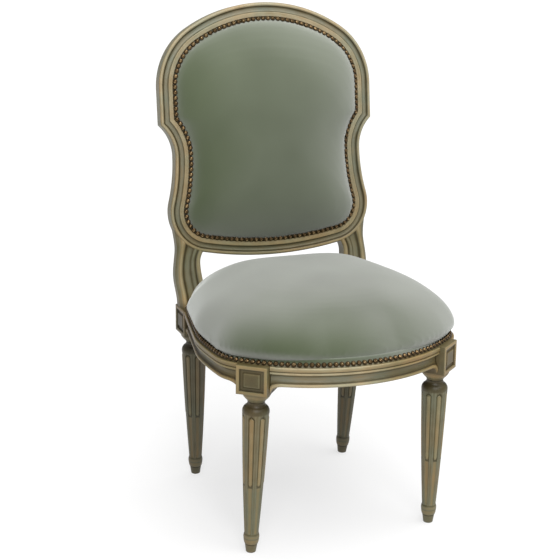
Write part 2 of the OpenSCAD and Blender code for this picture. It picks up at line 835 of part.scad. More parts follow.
module seat_webbing_across() {
    color(JUTE) placed() intersection() {
        for (k = [0 : 4]) translate([-far, first_strap_y + k * strap_step, rail_top])
            cube([2 * far, strap_w, strap_t]);
        linear_extrude(far) inside_plan(strap_edge);
    }
}

module seat_webbing_along() {
    color(JUTE) placed() intersection() {
        for (k = [-1.5 : 1.5]) translate([k * strap_step - strap_w / 2, -far, rail_top + strap_t])
            cube([strap_w, 2 * far, strap_t]);
        linear_extrude(far) inside_plan(strap_edge);
    }
}

hessian_z = rail_top + 2 * strap_t;

module seat_hessian() {
    color(JUTE) placed() translate([0, 0, hessian_z]) linear_extrude(hessian_t) difference() {
        inside_plan(strap_edge);
        both_sides() translate([notch_x, notch_y]) square(2 * block_w);
    }
}

module dust_cover() {
    color(BLACK_CLOTH) placed() translate([0, 0, rail_bottom - hessian_t]) linear_extrude(hessian_t)
        difference() {
            inside_plan(rail_in - 6);
            both_sides() {
                at_front_block() square(block_w + 2, center = true);
                at_rear_block() square(block_w + 2, center = true);
            }
        }
}

// Outline of the seat's upholstery at an offset from the line of nails. It is cut
// out around the posts, and reaches back to the rear rail between them.
notch_gap = 6;
notch_x = block_in_x - notch_gap;
notch_y = back_y - notch_gap;
notch_turn = 8;

seat_steps = [7, 4, 3, 3];
function notch_turns(s) = [hind_x(s, notch_y - notch_turn), hind_x(s, notch_y + s)];

function seat_half(s) = concat(
    side_line(s, -90, seat_steps),
    [[notch_turns(s)[0], notch_y - notch_turn], [notch_turns(s)[1], notch_y + s]],
    [[(notch_turns(s)[1] + notch_x) / 2, notch_y + s], [notch_x + s, notch_y + s]],
    [[notch_x + s, rear_nail_y + s], [notch_x - notch_turn, rear_nail_y + s], [notch_x / 2, rear_nail_y + s]]
);

function seat_outline(s) =
    let (h = seat_half(s))
    concat(h, [[0, rear_nail_y + s]], mirrored([for (k = [1 : len(h) - 1]) h[k]]));

// The first and last of the points that lie on wood, where the nails leave off
skirt_last = seat_steps[0] + seat_steps[1] + seat_steps[2] + seat_steps[3] + 1;
function on_wood(k, n) = let (j = min(k, n - k)) j > skirt_last && j < skirt_last + 5;

// Outline of the back's panel at an offset from the line of nails
function back_half(s, n) = concat(
    arc_points(bottom_c, bottom_r + s, -90, bottom_end, n[0]),
    arc_points(low_corner_c, low_corner_r + s, bottom_end, low_corner_start, n[1]),
    arc_points(hip_c, hip_r - s, hip_end, 180, n[2]),
    arc_points(shoulder_c, shoulder_r - s, 180, angle_of(shoulder_at(s) - shoulder_c), n[3]),
    [shoulder_at(s)],
    arc_points(crest_corner_c, crest_corner_r + s, 0, crest_end, n[4]),
    arc_points(crest_c, crest_r + s, crest_end, 90, n[5]),
    [[0, crest_c[1] + crest_r + s]]
);

function back_outline(s, n) =
    let (h = back_half(s, n)) concat(h, mirrored([for (k = [1 : len(h) - 2]) h[k]]));

// Height of a crowned pad at a share f of the way from its middle to its edge
crown_flat = 3.2;
crown_edge = 0.53;
function crown_rise(f) = pow(1 - pow(f, crown_flat), crown_edge);

function ring(outline, c, f, z) = [for (p = outline) [c[0] + f * (p[0] - c[0]), c[1] + f * (p[1] - c[1]), z]];

dome_rings = 7;
function dome_share(k) = sin(90 * k / dome_rings);

// Rings of a crowned surface from its middle out to its edge
function dome(outline, c, base, crown) =
    [for (k = [1 : dome_rings]) let (f = dome_share(k))
        ring(outline, c, f, base + (crown - base) * crown_rise(f))];

seat_c = [0, -widest_y / 2];
seat_base = hessian_z + hessian_t + soft_gap;
stuff_edge = edge_in - cover_t - soft_gap;

// How far the cover's two faces lie from the wood beneath the nails
lip_in = 1.5 * soft_gap;
lip_out = lip_in + cover_t;
nail_lift = lip_out + soft_gap;
hem = 1;

module seat_stuffing() {
    c = seat_c;
    crown = rail_top + seat_crown - cover_t - soft_gap;
    color(STUFFING) placed() ringed_solid(
        [c[0], c[1], crown], dome(seat_outline(stuff_edge), c, seat_base, crown), [c[0], c[1], seat_base]);
}

// The cover lies over the stuffing and down the sloping edge to the nails
module seat_cover() {
    c = seat_c;
    crown = rail_top + seat_crown;
    inner_crown = crown - cover_t;
    near = lip_in / sqrt(2);
    away = lip_out / sqrt(2);
    outer = concat(
        dome(seat_outline(stuff_edge + soft_gap + cover_t), c, seat_base, crown),
        [ring(seat_outline(edge_in + away), c, 1, rail_top + away), skirt(away, rail_top + away)]
    );
    inner = concat(
        dome(seat_outline(stuff_edge + soft_gap), c, seat_base, inner_crown),
        [ring(seat_outline(edge_in + near), c, 1, rail_top + near), skirt(near, rail_top + near)]
    );
    color(VELVET) placed() ringed_solid(
        [c[0], c[1], crown], concat(outer, reversed(inner)), [c[0], c[1], inner_crown]);
}

// Lower hem of the cover: down the sloping edge, or short where it meets the posts
function skirt(lift, z_flat) =
    let (long = seat_outline(edge_out - hem + lift), short = seat_outline(edge_in + hem + lift))
    let (n = len(long))
    [for (k = [0 : n - 1]) on_wood(k, n)
        ? concat(short[k], [z_flat])
        : concat(long[k], [edge_low + hem + lift])];

back_c = [0, panel_low + panel_h / 2];
web_z = 0;
back_strap_step = 1.6 * strap_w;
back_hessian_z = web_z + 2 * strap_t;
pad_base = back_hessian_z + hessian_t + soft_gap;
pad_edge = lip_top - cover_t - 2 * soft_gap;
pad_steps = [3, 5, 4, 4, 5, 4];

module panel_plate(s) {
    polygon(back_outline(s, pad_steps));
}

module back_webbing_across() {
    color(JUTE) in_back() translate([0, 0, web_z]) linear_extrude(strap_t) intersection() {
        for (k = [-1.5 : 1.5]) translate([-far, back_c[1] + k * back_strap_step - strap_w / 2])
            square([2 * far, strap_w]);
        panel_plate(pad_edge - 1);
    }
}

module back_webbing_along() {
    color(JUTE) in_back() translate([0, 0, web_z + strap_t]) linear_extrude(strap_t) intersection() {
        for (k = [-1 : 1]) translate([k * back_strap_step - strap_w / 2, -far])
            square([strap_w, 3 * far]);
        panel_plate(pad_edge - 1);
    }
}

module back_hessian() {
    color(JUTE) in_back() translate([0, 0, back_hessian_z]) linear_extrude(hessian_t)
        panel_plate(pad_edge);
}

module back_stuffing() {
    c = back_c;
    crown = back_crown - cover_t - soft_gap;
    color(STUFFING) in_back() ringed_solid(
        [c[0], c[1], crown], dome(back_outline(pad_edge, pad_steps), c, pad_base, crown),
        [c[0], c[1], pad_base]);
}

// A point on the frame's sloping lip: a share of the way down it, and a lift off it
lip_slope = atan2(lip_drop, nail_seat_x - lip_top);
function on_lip(u, lift) = [
    lip_top + u * (nail_seat_x - lip_top) + lift * sin(lip_slope),
    -lip_drop * u + lift * cos(lip_slope)
];
function lip_ring(u, lift) =
    ring(back_outline(on_lip(u, lift)[0], pad_steps), back_c, 1, on_lip(u, lift)[1]);

lip_share = [0.05, 0.72];

module back_cover() {
    c = back_c;
    outer = concat(
        dome(back_outline(pad_edge + soft_gap + cover_t, pad_steps), c, pad_base, back_crown),
        [lip_ring(lip_share[0], lip_out), lip_ring(lip_share[1], lip_out)]
    );
    inner = concat(
        dome(back_outline(pad_edge + soft_gap, pad_steps), c, pad_base, back_crown - cover_t),
        [lip_ring(lip_share[0], lip_in), lip_ring(lip_share[1], lip_in)]
    );
    color(VELVET) in_back() ringed_solid(
        [c[0], c[1], back_crown], concat(outer, reversed(inner)), [c[0], c[1], back_crown - cover_t]);
}

module outside_back_cover() {
    color(VELVET) in_back() translate([0, 0, -frame_t + rear_sink - 0.2 - cover_t]) linear_extrude(cover_t)
        panel_plate(rear_lap - soft_gap);
}

// A domed nail head that stands on its flat underside
module nail_head() {
    round_r = (nail_r * nail_r + nail_h * nail_h) / (2 * nail_h);
    rotate_extrude() intersection() {
        translate([0, nail_h - round_r]) circle(round_r);
        square([nail_r + 1, nail_h + 1]);
    }
}

// Nails along an arc, on a slope that faces outwards, evenly spaced
module nails_on_arc(c, r, a0, a1, slope, z, hollow = false) {
    n = max(1, round(abs(a1 - a0) * PI / 180 * r / nail_pitch));
    for (k = [0 : n - 1]) translate([c[0], c[1], z]) rotate([0, 0, a0 + (a1 - a0) * (k + 0.5) / n])
        translate([r, 0, 0]) rotate([0, hollow ? -slope : slope, 0]) nail_head();
}

module nails_on_line(p0, p1, facing, slope, z) {
    n = max(1, round(len2(p1 - p0) / nail_pitch));
    for (k = [0 : n - 1]) translate(concat(p0 + (p1 - p0) * (k + 0.5) / n, [z]))
        rotate([0, 0, facing]) rotate([0, slope, 0]) nail_head();
}

// Nails sit on the cover, on the sloping edge
nail_s = (edge_in + edge_out) / 2 + nail_lift / sqrt(2);
nail_z = (rail_top + edge_low) / 2 + nail_lift / sqrt(2);

module seat_nails() {
    hind_start = hind_c + (hind_r + nail_s) * [cos(side_slant), sin(side_slant)];
    hind_stop = back_y - 2 * nail_r;
    color(BRONZE) placed() {
        nails_on_arc([0, 0], front_r + nail_s, -90 - front_end, -90 + front_end, 45, nail_z);
        both_sides() {
            nails_on_arc(corner_c, corner_r + nail_s, -90 + front_end, corner_end, 45, nail_z);
            nails_on_arc(side_c, side_r + nail_s, corner_end, 0, 45, nail_z);
            nails_on_arc(hind_c, hind_r + nail_s, 0, side_slant, 45, nail_z);
            nails_on_line(hind_start, [hind_x(nail_s, hind_stop), hind_stop], side_slant, 45, nail_z);
        }
        row_y = rear_nail_y + nail_s;
        nails_on_line([-block_in_x + nail_r, row_y], [block_in_x - nail_r, row_y], 90, 45, nail_z);
    }
}

module panel_nails(s, slope, z) {
    nails_on_arc(crest_c, crest_r + s, crest_end, 180 - crest_end, slope, z);
    nails_on_arc(bottom_c, bottom_r + s, -180 - bottom_end, bottom_end, slope, z);
    corner = shoulder_at(s);
    both_sides() {
        nails_on_arc(crest_corner_c, crest_corner_r + s, 0, crest_end, slope, z);
        nails_on_line([crest_half_w + s, crest_corner_c[1]], corner, 0, slope, z);
        nails_on_arc(shoulder_c, shoulder_r - s, angle_of(corner - shoulder_c), 180, slope, z, true);
        nails_on_arc(hip_c, hip_r - s, 180, hip_end, slope, z, true);
        nails_on_arc(low_corner_c, low_corner_r + s, bottom_end, low_corner_start, slope, z);
    }
}

module back_nails() {
    seat = on_lip(0.5, nail_lift);
    color(BRONZE) in_back() panel_nails(seat[0], lip_slope, seat[1]);
}

module outside_back_nails() {
    color(BRONZE) in_back() translate([0, 0, -frame_t + rear_sink - 0.4 - cover_t]) mirror([0, 0, 1])
        panel_nails(rear_lap - nail_r - 1, 0, 0);
}

front_rail();
side_rail(-1);  // side_rail_left
side_rail(1);  // side_rail_right
rear_rail();
front_leg(-1);  // front_leg_left
front_leg(1);  // front_leg_right
rear_leg(-1);  // rear_leg_left
rear_leg(1);  // rear_leg_right
crest_rail();
back_stile(-1);  // back_stile_left
back_stile(1);  // back_stile_right
back_bottom_rail();
brace(true, -1);  // brace_front_left
brace(true, 1);  // brace_front_right
brace(false, -1);  // brace_rear_left
brace(false, 1);  // brace_rear_right
brace_screws();
frame_dowels();
seat_webbing_across();
seat_webbing_along();
seat_hessian();
seat_stuffing();
seat_cover();
seat_nails();
dust_cover();
back_webbing_across();
back_webbing_along();
back_hessian();
back_stuffing();
back_cover();
back_nails();
outside_back_cover();
outside_back_nails();
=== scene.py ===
# %% [markdown]
# # An upholstered side chair
# The chair has a painted and rubbed wooden frame, sage-green velvet on the seat and
# back, and rows of bronze nails. The construction model gives every size. This
# lesson dresses it: each visible piece is rebuilt as a denser surface that carries
# its own finish, in the same place and to the same sizes.

import math

import bmesh
import bpy
import numpy as np
from mathutils import Matrix, Vector


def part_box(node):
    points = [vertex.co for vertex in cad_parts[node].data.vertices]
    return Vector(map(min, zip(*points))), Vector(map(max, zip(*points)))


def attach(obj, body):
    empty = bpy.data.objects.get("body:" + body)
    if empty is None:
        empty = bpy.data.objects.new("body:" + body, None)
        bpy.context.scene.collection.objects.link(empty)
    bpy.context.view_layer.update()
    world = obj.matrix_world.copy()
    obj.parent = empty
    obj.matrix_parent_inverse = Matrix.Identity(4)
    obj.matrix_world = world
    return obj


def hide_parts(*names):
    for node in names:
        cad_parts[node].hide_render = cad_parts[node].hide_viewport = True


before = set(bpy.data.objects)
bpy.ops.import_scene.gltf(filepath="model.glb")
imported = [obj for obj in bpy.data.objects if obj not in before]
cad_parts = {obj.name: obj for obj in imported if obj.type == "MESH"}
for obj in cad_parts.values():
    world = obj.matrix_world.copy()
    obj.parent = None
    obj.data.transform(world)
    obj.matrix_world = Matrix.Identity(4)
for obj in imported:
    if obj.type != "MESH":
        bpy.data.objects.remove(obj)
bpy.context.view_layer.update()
scene = bpy.context.scene

# %% [markdown]
# The photograph was taken from the front and a little to the chair's left, from
# above seat height. The camera's place and lens were worked out from the corners of
# the square leg blocks and the feet. It comes first, so that every later piece can
# be judged in the photograph's own frame.

# %% Camera
PICTURE_PX, FOCAL_PX, SENSOR_MM = 560, 1297.9, 36
CAMERA_MM = (-978.23, -2314.07, 1148.2)
AZIMUTH, PITCH, ROLL = -0.376861, 0.263058, 0.012076
SIGHT_M = 500

flat = math.cos(PITCH)
back = Vector((math.sin(AZIMUTH) * flat, -math.cos(AZIMUTH) * flat, math.sin(PITCH)))
level = Vector((math.cos(AZIMUTH), math.sin(AZIMUTH), 0))
upright = level.cross(-back)
right = level * math.cos(ROLL) + upright * math.sin(ROLL)
up = upright * math.cos(ROLL) - level * math.sin(ROLL)
camera = bpy.data.objects.new("camera", bpy.data.cameras.new("camera"))
scene.collection.objects.link(camera)
turn = Matrix((right, up, back)).transposed().to_4x4()
camera.matrix_world = Matrix.Translation(Vector(CAMERA_MM) / 1000) @ turn
camera.data.sensor_width = SENSOR_MM
camera.data.lens = SENSOR_MM * FOCAL_PX / PICTURE_PX
camera.data.clip_end = SIGHT_M
scene.camera = camera
print("lens:", round(camera.data.lens, 1), "mm")

# %% [markdown]
# Sizes are kept in millimetres, as in the construction model. The plan of the seat
# is a chain of arcs: a bowed front, a tight corner, a flat side, a bend and a
# straight run to the rear leg. Every moulding follows this chain at its own offset,
# so one function that gives the chain at any offset is enough to build them all.

# %% Sizes of the seat frame
FRONT_R, SIDE_R, HIND_R, CORNER_R = 300.0, 800.0, 235.0, 70.0
HALF_W, WIDEST, SLANT = 241.0, -80.0, 11.0
RAIL_TOP, RAIL_H, RAIL_IN, RAIL_OUT = 392.0, 46.0, 36.0, 10.0
RAIL_LOW = RAIL_TOP - RAIL_H
BLOCK_ANGLE, BLOCK_W = 40.0, 61.0
BLOCK_LOW, BLOCK_HIGH = 328.5, 384.5
REAR_LEG_Y, REAR_NAIL_Y = 163.0, 181.5
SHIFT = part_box("front_rail")[0].y * 1000 + FRONT_R + RAIL_OUT
print("the plan's centre lies", round(SHIFT, 1), "mm behind the chair's")


# %% Arcs of the plan
def direction(degrees):
    """Unit vectors (cos a, sin a)."""
    a = np.radians(np.asarray(degrees, float))
    return np.stack([np.cos(a), np.sin(a)], -1)


def heading(v):
    """A vector's angle atan2(y, x), in degrees."""
    return math.degrees(math.atan2(v[1], v[0]))


def meet(c1, r1, c2, r2):
    """The crossing of two circles on the left of the line between their centres:
    a = (r1^2 - r2^2 + d^2) / 2d along it and h = sqrt(r1^2 - a^2) beside it."""
    d = np.linalg.norm(c2 - c1)
    a = (r1 * r1 - r2 * r2 + d * d) / (2 * d)
    e = (c2 - c1) / d
    return c1 + a * e + math.sqrt(r1 * r1 - a * a) * np.array([-e[1], e[0]])


side_c = np.array([HALF_W - SIDE_R, WIDEST])
corner_c = meet(np.zeros(2), FRONT_R - CORNER_R, side_c, SIDE_R - CORNER_R)
hind_c = np.array([HALF_W - HIND_R, WIDEST])
front_end, corner_end = heading(corner_c), heading(corner_c - side_c)
print("front curve ends at", round(front_end, 1), "and the corner at", round(corner_end, 1))


def chain(pieces, s):
    """Points of a chain of arcs at offsets s (m,), as (m, k, 2). Each piece is
    (centre, radius, first angle, last angle, count, sign), and
    p = c + (r + sign * s) * (cos a, sin a)."""
    s = np.atleast_1d(np.asarray(s, float))[:, None, None]
    parts = []
    for c, r, a0, a1, n, sign in pieces:
        d = direction(np.linspace(a0, a1, n, endpoint=False))[None]
        parts.append(np.asarray(c, float) + (r + sign * s) * d)
    return np.concatenate(parts, 1)


def hind_point(s, y):
    """Point of a side's straight run at offset s and depth y (plan frame)."""
    s = np.atleast_1d(np.asarray(s, float))
    p = hind_c + (HIND_R + s)[:, None] * direction(SLANT)
    x = p[:, 0] - (y - p[:, 1]) * math.tan(math.radians(SLANT))
    return np.stack([x, np.broadcast_to(np.asarray(y, float), x.shape)], -1)


def side_chain(s, first, counts, stop):
    """A seat side at offsets s, from an angle on the front curve through its four
    arcs and the straight run, back to depth stop."""
    arcs = [
        ((0, 0), FRONT_R, first, front_end, counts[0], 1),
        (corner_c, CORNER_R, front_end, corner_end, counts[1], 1),
        (side_c, SIDE_R, corner_end, 0, counts[2], 1),
        (hind_c, HIND_R, 0, SLANT, counts[3], 1),
    ]
    start = (hind_c + HIND_R * direction(SLANT))[1]
    run = [hind_point(s, y)[:, None] for y in np.linspace(start, stop, counts[4] + 1)[1:]]
    joint = (hind_c + (HIND_R + np.atleast_1d(s)[:, None]) * direction(SLANT))[:, None]
    return np.concatenate([chain(arcs, s), joint, *run], 1)


# %% [markdown]
# Most of the wood is a section swept along a line, which is a grid of points. A grid
# is quick to fill with numpy and keeps perfect control of where each bead and hollow
# runs. Two things travel with every point: a tone, from dark hollow to cream ridge,
# and a position along and across the moulding. The paint material reads both.

# %% A mesh from points and faces
SHARP_EDGE = math.radians(38)


def add_mesh(name, points, faces, tone=None, run=None, creased=True):
    """Makes a mesh object from points in mm in the plan frame (y is shifted into
    the chair's own frame) and faces as a list of integer arrays (n, 3) or (n, 4)."""
    co = np.array(points, float).reshape(-1, 3) / 1000
    co[:, 1] += SHIFT / 1000
    mesh = bpy.data.meshes.new(name)
    mesh.vertices.add(len(co))
    mesh.vertices.foreach_set("co", co.ravel())
    sizes = np.concatenate([np.full(len(f), f.shape[1]) for f in faces])
    index = np.concatenate([f.ravel() for f in faces])
    mesh.loops.add(len(index))
    mesh.loops.foreach_set("vertex_index", index)
    mesh.polygons.add(len(sizes))
    mesh.polygons.foreach_set("loop_start", np.concatenate([[0], np.cumsum(sizes)[:-1]]))
    mesh.polygons.foreach_set("use_smooth", np.ones(len(sizes), bool))
    layers = (("tone", "FLOAT", "value", tone), ("run", "FLOAT_VECTOR", "vector", run))
    for label, kind, field, data in layers:
        if data is not None:
            layer = mesh.attributes.new(label, kind, "POINT")
            layer.data.foreach_set(field, np.asarray(data, float).ravel())
    mesh.update(calc_edges=True)
    mesh.validate()
    if creased:
        mesh.set_sharp_from_angle(angle=SHARP_EDGE)
    piece = bpy.data.objects.new(name, mesh)
    scene.collection.objects.link(piece)
    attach(piece, "root")
    return piece


# %% Closed skins
CAP_TONE = 0.4


def ring_quads(m, n):
    """Quads between m rings of n points each. Point k of ring i has index i n + k."""
    i, k = np.meshgrid(np.arange(m - 1), np.arange(n), indexing="ij")
    j = (k + 1) % n
    return np.stack([i * n + k, i * n + j, (i + 1) * n + j, (i + 1) * n + k], -1).reshape(-1, 4)


def fan_faces(ring, centre, flip):
    """Triangles from a centre point to each pair of neighbours on a ring."""
    a, b = ring, np.roll(ring, -1)
    pair = (b, a) if flip else (a, b)
    return np.stack([np.full(len(ring), centre), *pair], -1)


def outward(points, faces):
    """Turns the faces over if the closed surface's signed volume is negative:
    V = sum of a . (b x c) / 6 over its triangles."""
    p = np.asarray(points, float).reshape(-1, 3)
    total = 0.0
    for f in faces:
        for k in range(1, f.shape[1] - 1):
            a, b, c = p[f[:, 0]], p[f[:, k]], p[f[:, k + 1]]
            total += np.einsum("ij,ij->i", a, np.cross(b, c)).sum() / 6
    return [f[:, ::-1] for f in faces] if total < 0 else faces


def closed_skin(rings):
    """Points and faces over rings (m, n, 3), with a fan round the mean point of the
    first ring and of the last."""
    m, n = rings.shape[:2]
    points = np.concatenate([rings.reshape(-1, 3), [rings[0].mean(0), rings[-1].mean(0)]])
    first, last = np.arange(n), np.arange((m - 1) * n, m * n)
    faces = [ring_quads(m, n), fan_faces(first, m * n, True), fan_faces(last, m * n + 1, False)]
    return points, outward(points, faces)


def sweep_mesh(name, rings, tone, along, across):
    """A closed skin over rings (m, n, 3), with the tone and the run of its points."""
    m, n = rings.shape[:2]
    tones = np.append(np.broadcast_to(tone, (m, n)).ravel(), [CAP_TONE, CAP_TONE])
    run = np.zeros((m, n, 3))
    run[..., 0] = np.asarray(along).reshape(m, -1) / 1000
    run[..., 1] = np.broadcast_to(across, (m, n)) / 1000
    run = np.concatenate([run.reshape(-1, 3), np.zeros((2, 3))])
    return add_mesh(name, *closed_skin(rings), tones, run)


def path_length(points):
    """Length of the line from its first point to each of its points."""
    step = np.linalg.norm(np.diff(points, axis=0), axis=1)
    return np.concatenate([[0], np.cumsum(step)])


def rings_over(lines, z):
    """Rings (k, n, 3) from plan lines (n, k, 2) and heights that fit them."""
    z = np.broadcast_to(z, lines.shape[:2])[..., None]
    return np.concatenate([lines, z], -1).transpose(1, 0, 2)


def mirror_x(rings):
    """The same rings with x turned into -x."""
    out = rings.copy()
    out[..., 0] *= -1
    return out


# %% [markdown]
# A section is drawn as short strokes, each with the tone at its two ends, and the
# strokes are cut into fine steps. Beads and ridges are cream where years of rubbing
# wore the glaze off, and quirks stay dark where it gathered.

# %% Drawing a section
def stroke(p, q, tone_p, tone_q, n):
    """n steps of a straight line, p + (q - p) t, with the tone going along."""
    t = np.linspace(0, 1, n, endpoint=False)[:, None]
    a, b = np.array([*p, tone_p], float), np.array([*q, tone_q], float)
    return a + (b - a) * t


def curve(c, r, a0, a1, tones, n):
    """n steps of an arc, c + r (cos a, sin a), with a tone for each equal part."""
    t = np.linspace(0, 1, n, endpoint=False)
    p = np.asarray(c, float) + r * direction(a0 + (a1 - a0) * t)
    return np.column_stack([p, np.interp(t, np.linspace(0, 1, len(tones)), tones)])


def rail_section():
    """Section of a seat rail, from the inside top, outwards and down: offset
    outwards from the nails, height, tone."""
    z = RAIL_LOW
    return np.concatenate([
        stroke((-RAIL_IN, RAIL_TOP), (-3.5, RAIL_TOP), 0.3, 0.3, 3),
        stroke((-3.5, RAIL_TOP), (4.5, RAIL_TOP - 8), 0.3, 0.4, 5),
        stroke((4.5, RAIL_TOP - 8), (8.4, RAIL_TOP - 7.8), 0.35, 0.92, 3),
        curve((8.6, z + 36.8), 1.4, 90, 0, (0.92, 1.0), 4),
        stroke((RAIL_OUT, z + 36.8), (RAIL_OUT, z + 31.7), 0.95, 0.74, 5),
        curve((8.8, z + 31.7), 1.2, 0, -90, (0.74, 0.9), 4),
        stroke((8.8, z + 30.5), (5.4, z + 29.6), 0.75, 0.2, 4),
        curve((6.2, z + 26.6), 2.9, 75, -80, (0.45, 0.9, 1.0, 0.9, 0.4), 12),
        stroke((6.6, z + 23.7), (4.6, z + 23.2), 0.2, 0.14, 3),
        curve((8.9, z + 15.5), 8.9, 120, 240, (0.16, 0.3, 0.5, 0.62, 0.52, 0.42, 0.2), 22),
        stroke((4.6, z + 7.6), (4.6, z + 6.6), 0.18, 0.18, 2),
        curve((3.8, z + 3.4), 3.4, 80, -90, (0.5, 0.95, 1.0, 0.8, 0.4), 12),
        stroke((3.4, z), (0, z), 0.3, 0.25, 3),
        stroke((0, z), (-RAIL_IN, z), 0.25, 0.2, 5),
        stroke((-RAIL_IN, z), (-RAIL_IN, RAIL_TOP), 0.2, 0.2, 5),
    ])


section = rail_section()
print("rail section:", len(section), "points")

# %% [markdown]
# A material is a small net of nodes. These helpers keep each net short: they add a
# node, feed a socket, do sums, and give a noise, a colour ramp, a change of range, a
# mixed colour or a bump. Patterns are placed on the object, never by the camera.


# %% Helpers for materials
def hex_rgb(code):
    """A colour code made linear: ((c + 0.055) / 1.055)^2.4, or c / 12.92 when dark."""
    c = np.array([int(code[i : i + 2], 16) for i in (0, 2, 4)]) / 255
    return (*np.where(c <= 0.04045, c / 12.92, ((c + 0.055) / 1.055) ** 2.4), 1)


def new_material(name):
    m = bpy.data.materials.new(name)
    m.use_nodes = True
    return m, m.node_tree, m.node_tree.nodes["Principled BSDF"]


def set_sockets(node, values):
    """Sets sockets by their names."""
    for key, value in values.items():
        node.inputs[key].default_value = value


def add_node(tree, kind, **values):
    """Adds a node and sets its sockets or, where it has no such socket, its fields."""
    node = tree.nodes.new(kind)
    for key, value in values.items():
        if key in node.inputs:
            node.inputs[key].default_value = value
        else:
            setattr(node, key, value)
    return node


def feed(tree, value, socket):
    """Sets a socket to a number or links it to another node's output."""
    if isinstance(value, (int, float)):
        socket.default_value = value
    else:
        tree.links.new(value, socket)


def place_of(tree):
    """Where a point lies on its object."""
    return add_node(tree, "ShaderNodeTexCoord").outputs["Object"]


def attribute_of(tree, name, output):
    """A number or vector that was stored with the points."""
    return add_node(tree, "ShaderNodeAttribute", attribute_name=name).outputs[output]


def axes_of(tree, vector):
    """The X, Y and Z of a vector."""
    split = add_node(tree, "ShaderNodeSeparateXYZ")
    tree.links.new(vector, split.inputs[0])
    return split.outputs


def maths(tree, kind, a, b):
    """One sum of two values, each a number or a socket."""
    node = add_node(tree, "ShaderNodeMath", operation=kind)
    feed(tree, a, node.inputs[0])
    feed(tree, b, node.inputs[1])
    return node.outputs[0]


def around(tree, value, middle, gain):
    """(value - middle) * gain."""
    return maths(tree, "MULTIPLY", maths(tree, "SUBTRACT", value, middle), gain)


def noise_of(tree, vector, scale, detail=3.0, stretch=(1, 1, 1)):
    """Noise over the vector, which is first stretched along its axes."""
    mapping = add_node(tree, "ShaderNodeMapping", Scale=stretch)
    tree.links.new(vector, mapping.inputs["Vector"])
    node = add_node(tree, "ShaderNodeTexNoise", Scale=scale, Detail=detail)
    tree.links.new(mapping.outputs[0], node.inputs["Vector"])
    return node.outputs["Fac"]


def ramp_of(tree, factor, stops):
    """A colour for the factor, between stops of (place, colour code)."""
    node = add_node(tree, "ShaderNodeValToRGB")
    while len(node.color_ramp.elements) < len(stops):
        node.color_ramp.elements.new(1)
    for element, (place, code) in zip(node.color_ramp.elements, stops):
        element.position, element.color = place, hex_rgb(code)
    tree.links.new(factor, node.inputs["Fac"])
    return node.outputs["Color"]


def span_of(tree, value, source, target, kind="SMOOTHSTEP"):
    """The value's place in source, carried over to target."""
    span = add_node(tree, "ShaderNodeMapRange", interpolation_type=kind)
    limits = ("From Min", "From Max", "To Min", "To Max")
    set_sockets(span, dict(zip(limits, (*source, *target))))
    tree.links.new(value, span.inputs["Value"])
    return span.outputs[0]


def mix_of(tree, factor, first, second, blend="MIX"):
    """Two colours mixed, or multiplied when blend is MULTIPLY."""
    node = add_node(tree, "ShaderNodeMix", data_type="RGBA", blend_type=blend)
    for value, socket in ((factor, 0), (first, 6), (second, 7)):
        feed(tree, value, node.inputs[socket])
    return node.outputs[2]


def scaled(tree, colour, gain):
    """A colour times a gain."""
    node = add_node(tree, "ShaderNodeVectorMath", operation="SCALE")
    tree.links.new(colour, node.inputs[0])
    tree.links.new(gain, node.inputs["Scale"])
    return node.outputs[0]


def bump_of(tree, height, shader, strength, distance):
    """Tilts the shader's normal by the slope of a height."""
    node = add_node(tree, "ShaderNodeBump", Strength=strength, Distance=distance)
    tree.links.new(height, node.inputs["Height"])
    tree.links.new(node.outputs[0], shader.inputs["Normal"])


# %% [markdown]
# The paint is glazed and rubbed. A colour ramp turns the tone into dark glaze,
# grey-green and cream, and three noises shift the tone a little: one drawn out along
# the moulding, as a cloth leaves it, a patchy one and a fine one. Over it lies a tint
# that holds painted light and shade. Up the legs and the back it follows the height:
# darker and browner on the legs below the seat and low on the back, a painted shade,
# yellow under the back, and lighter at the top, a painted light. Along the rails it
# follows the width: lighter and greyer across the front just left of the middle, a
# painted light, and darker and yellower towards the left corner and all to the right,
# a painted shade. So there are two paints. Below the seat both grow darker towards the
# rear, a painted shade under the seat.

# %% Paint
PAINT_STOPS = [
    (0.0, "2a2417"), (0.12, "433b27"), (0.28, "554e37"), (0.42, "6a6551"), (0.55, "797768"),
    (0.68, "7f755c"), (0.8, "897a5d"), (0.9, "948970"), (1.0, "a0977f"),
]
GLAZE_STOPS = [(0.36, "fff2de"), (0.5, "f6f3e6"), (0.64, "eaf1ea")]
# Painted shade below the seat and low on the back and painted light at the top, over a tint by height in
# metres.
HEIGHT_TINT_AND_SHADE = [
    (0.0, "cbc9be"), (0.33, "cbc9be"), (0.36, "e5decc"), (0.4, "dfdacd"), (0.44, "d7d6d3"),
    (0.5, "c8c3b3"), (0.58, "cfcecb"), (0.7, "d4d5d6"), (1.0, "f4f7ff"),
]
# Painted light across the front just left of the middle, and painted shade towards the left corner and on
# the right, by x along the rail span.
RAIL_LIGHT_AND_SHADE = [(0.06, "c5bba4"), (0.2, "e3e6e8"), (0.49, "e3e6e8"), (0.62, "c3b9a2")]
STREAK, PATCH, FINE, CLOUD = (320, 4, (0.09, 1, 1)), (42, 5), (520, 3), (17, 4)
# The fourth gain is how deep the painted shade under the seat gets at the rear.
STREAK_GAIN, PATCH_GAIN, FINE_GAIN, REAR_SHADE, PAINT_GAIN = 0.2, 0.26, 0.12, 0.45, 1.46
RAIL_SPAN, REAR_SPAN, SEAT_SPAN = (-0.25, 0.25), (-0.24, 0.12), (0.385, 0.405)


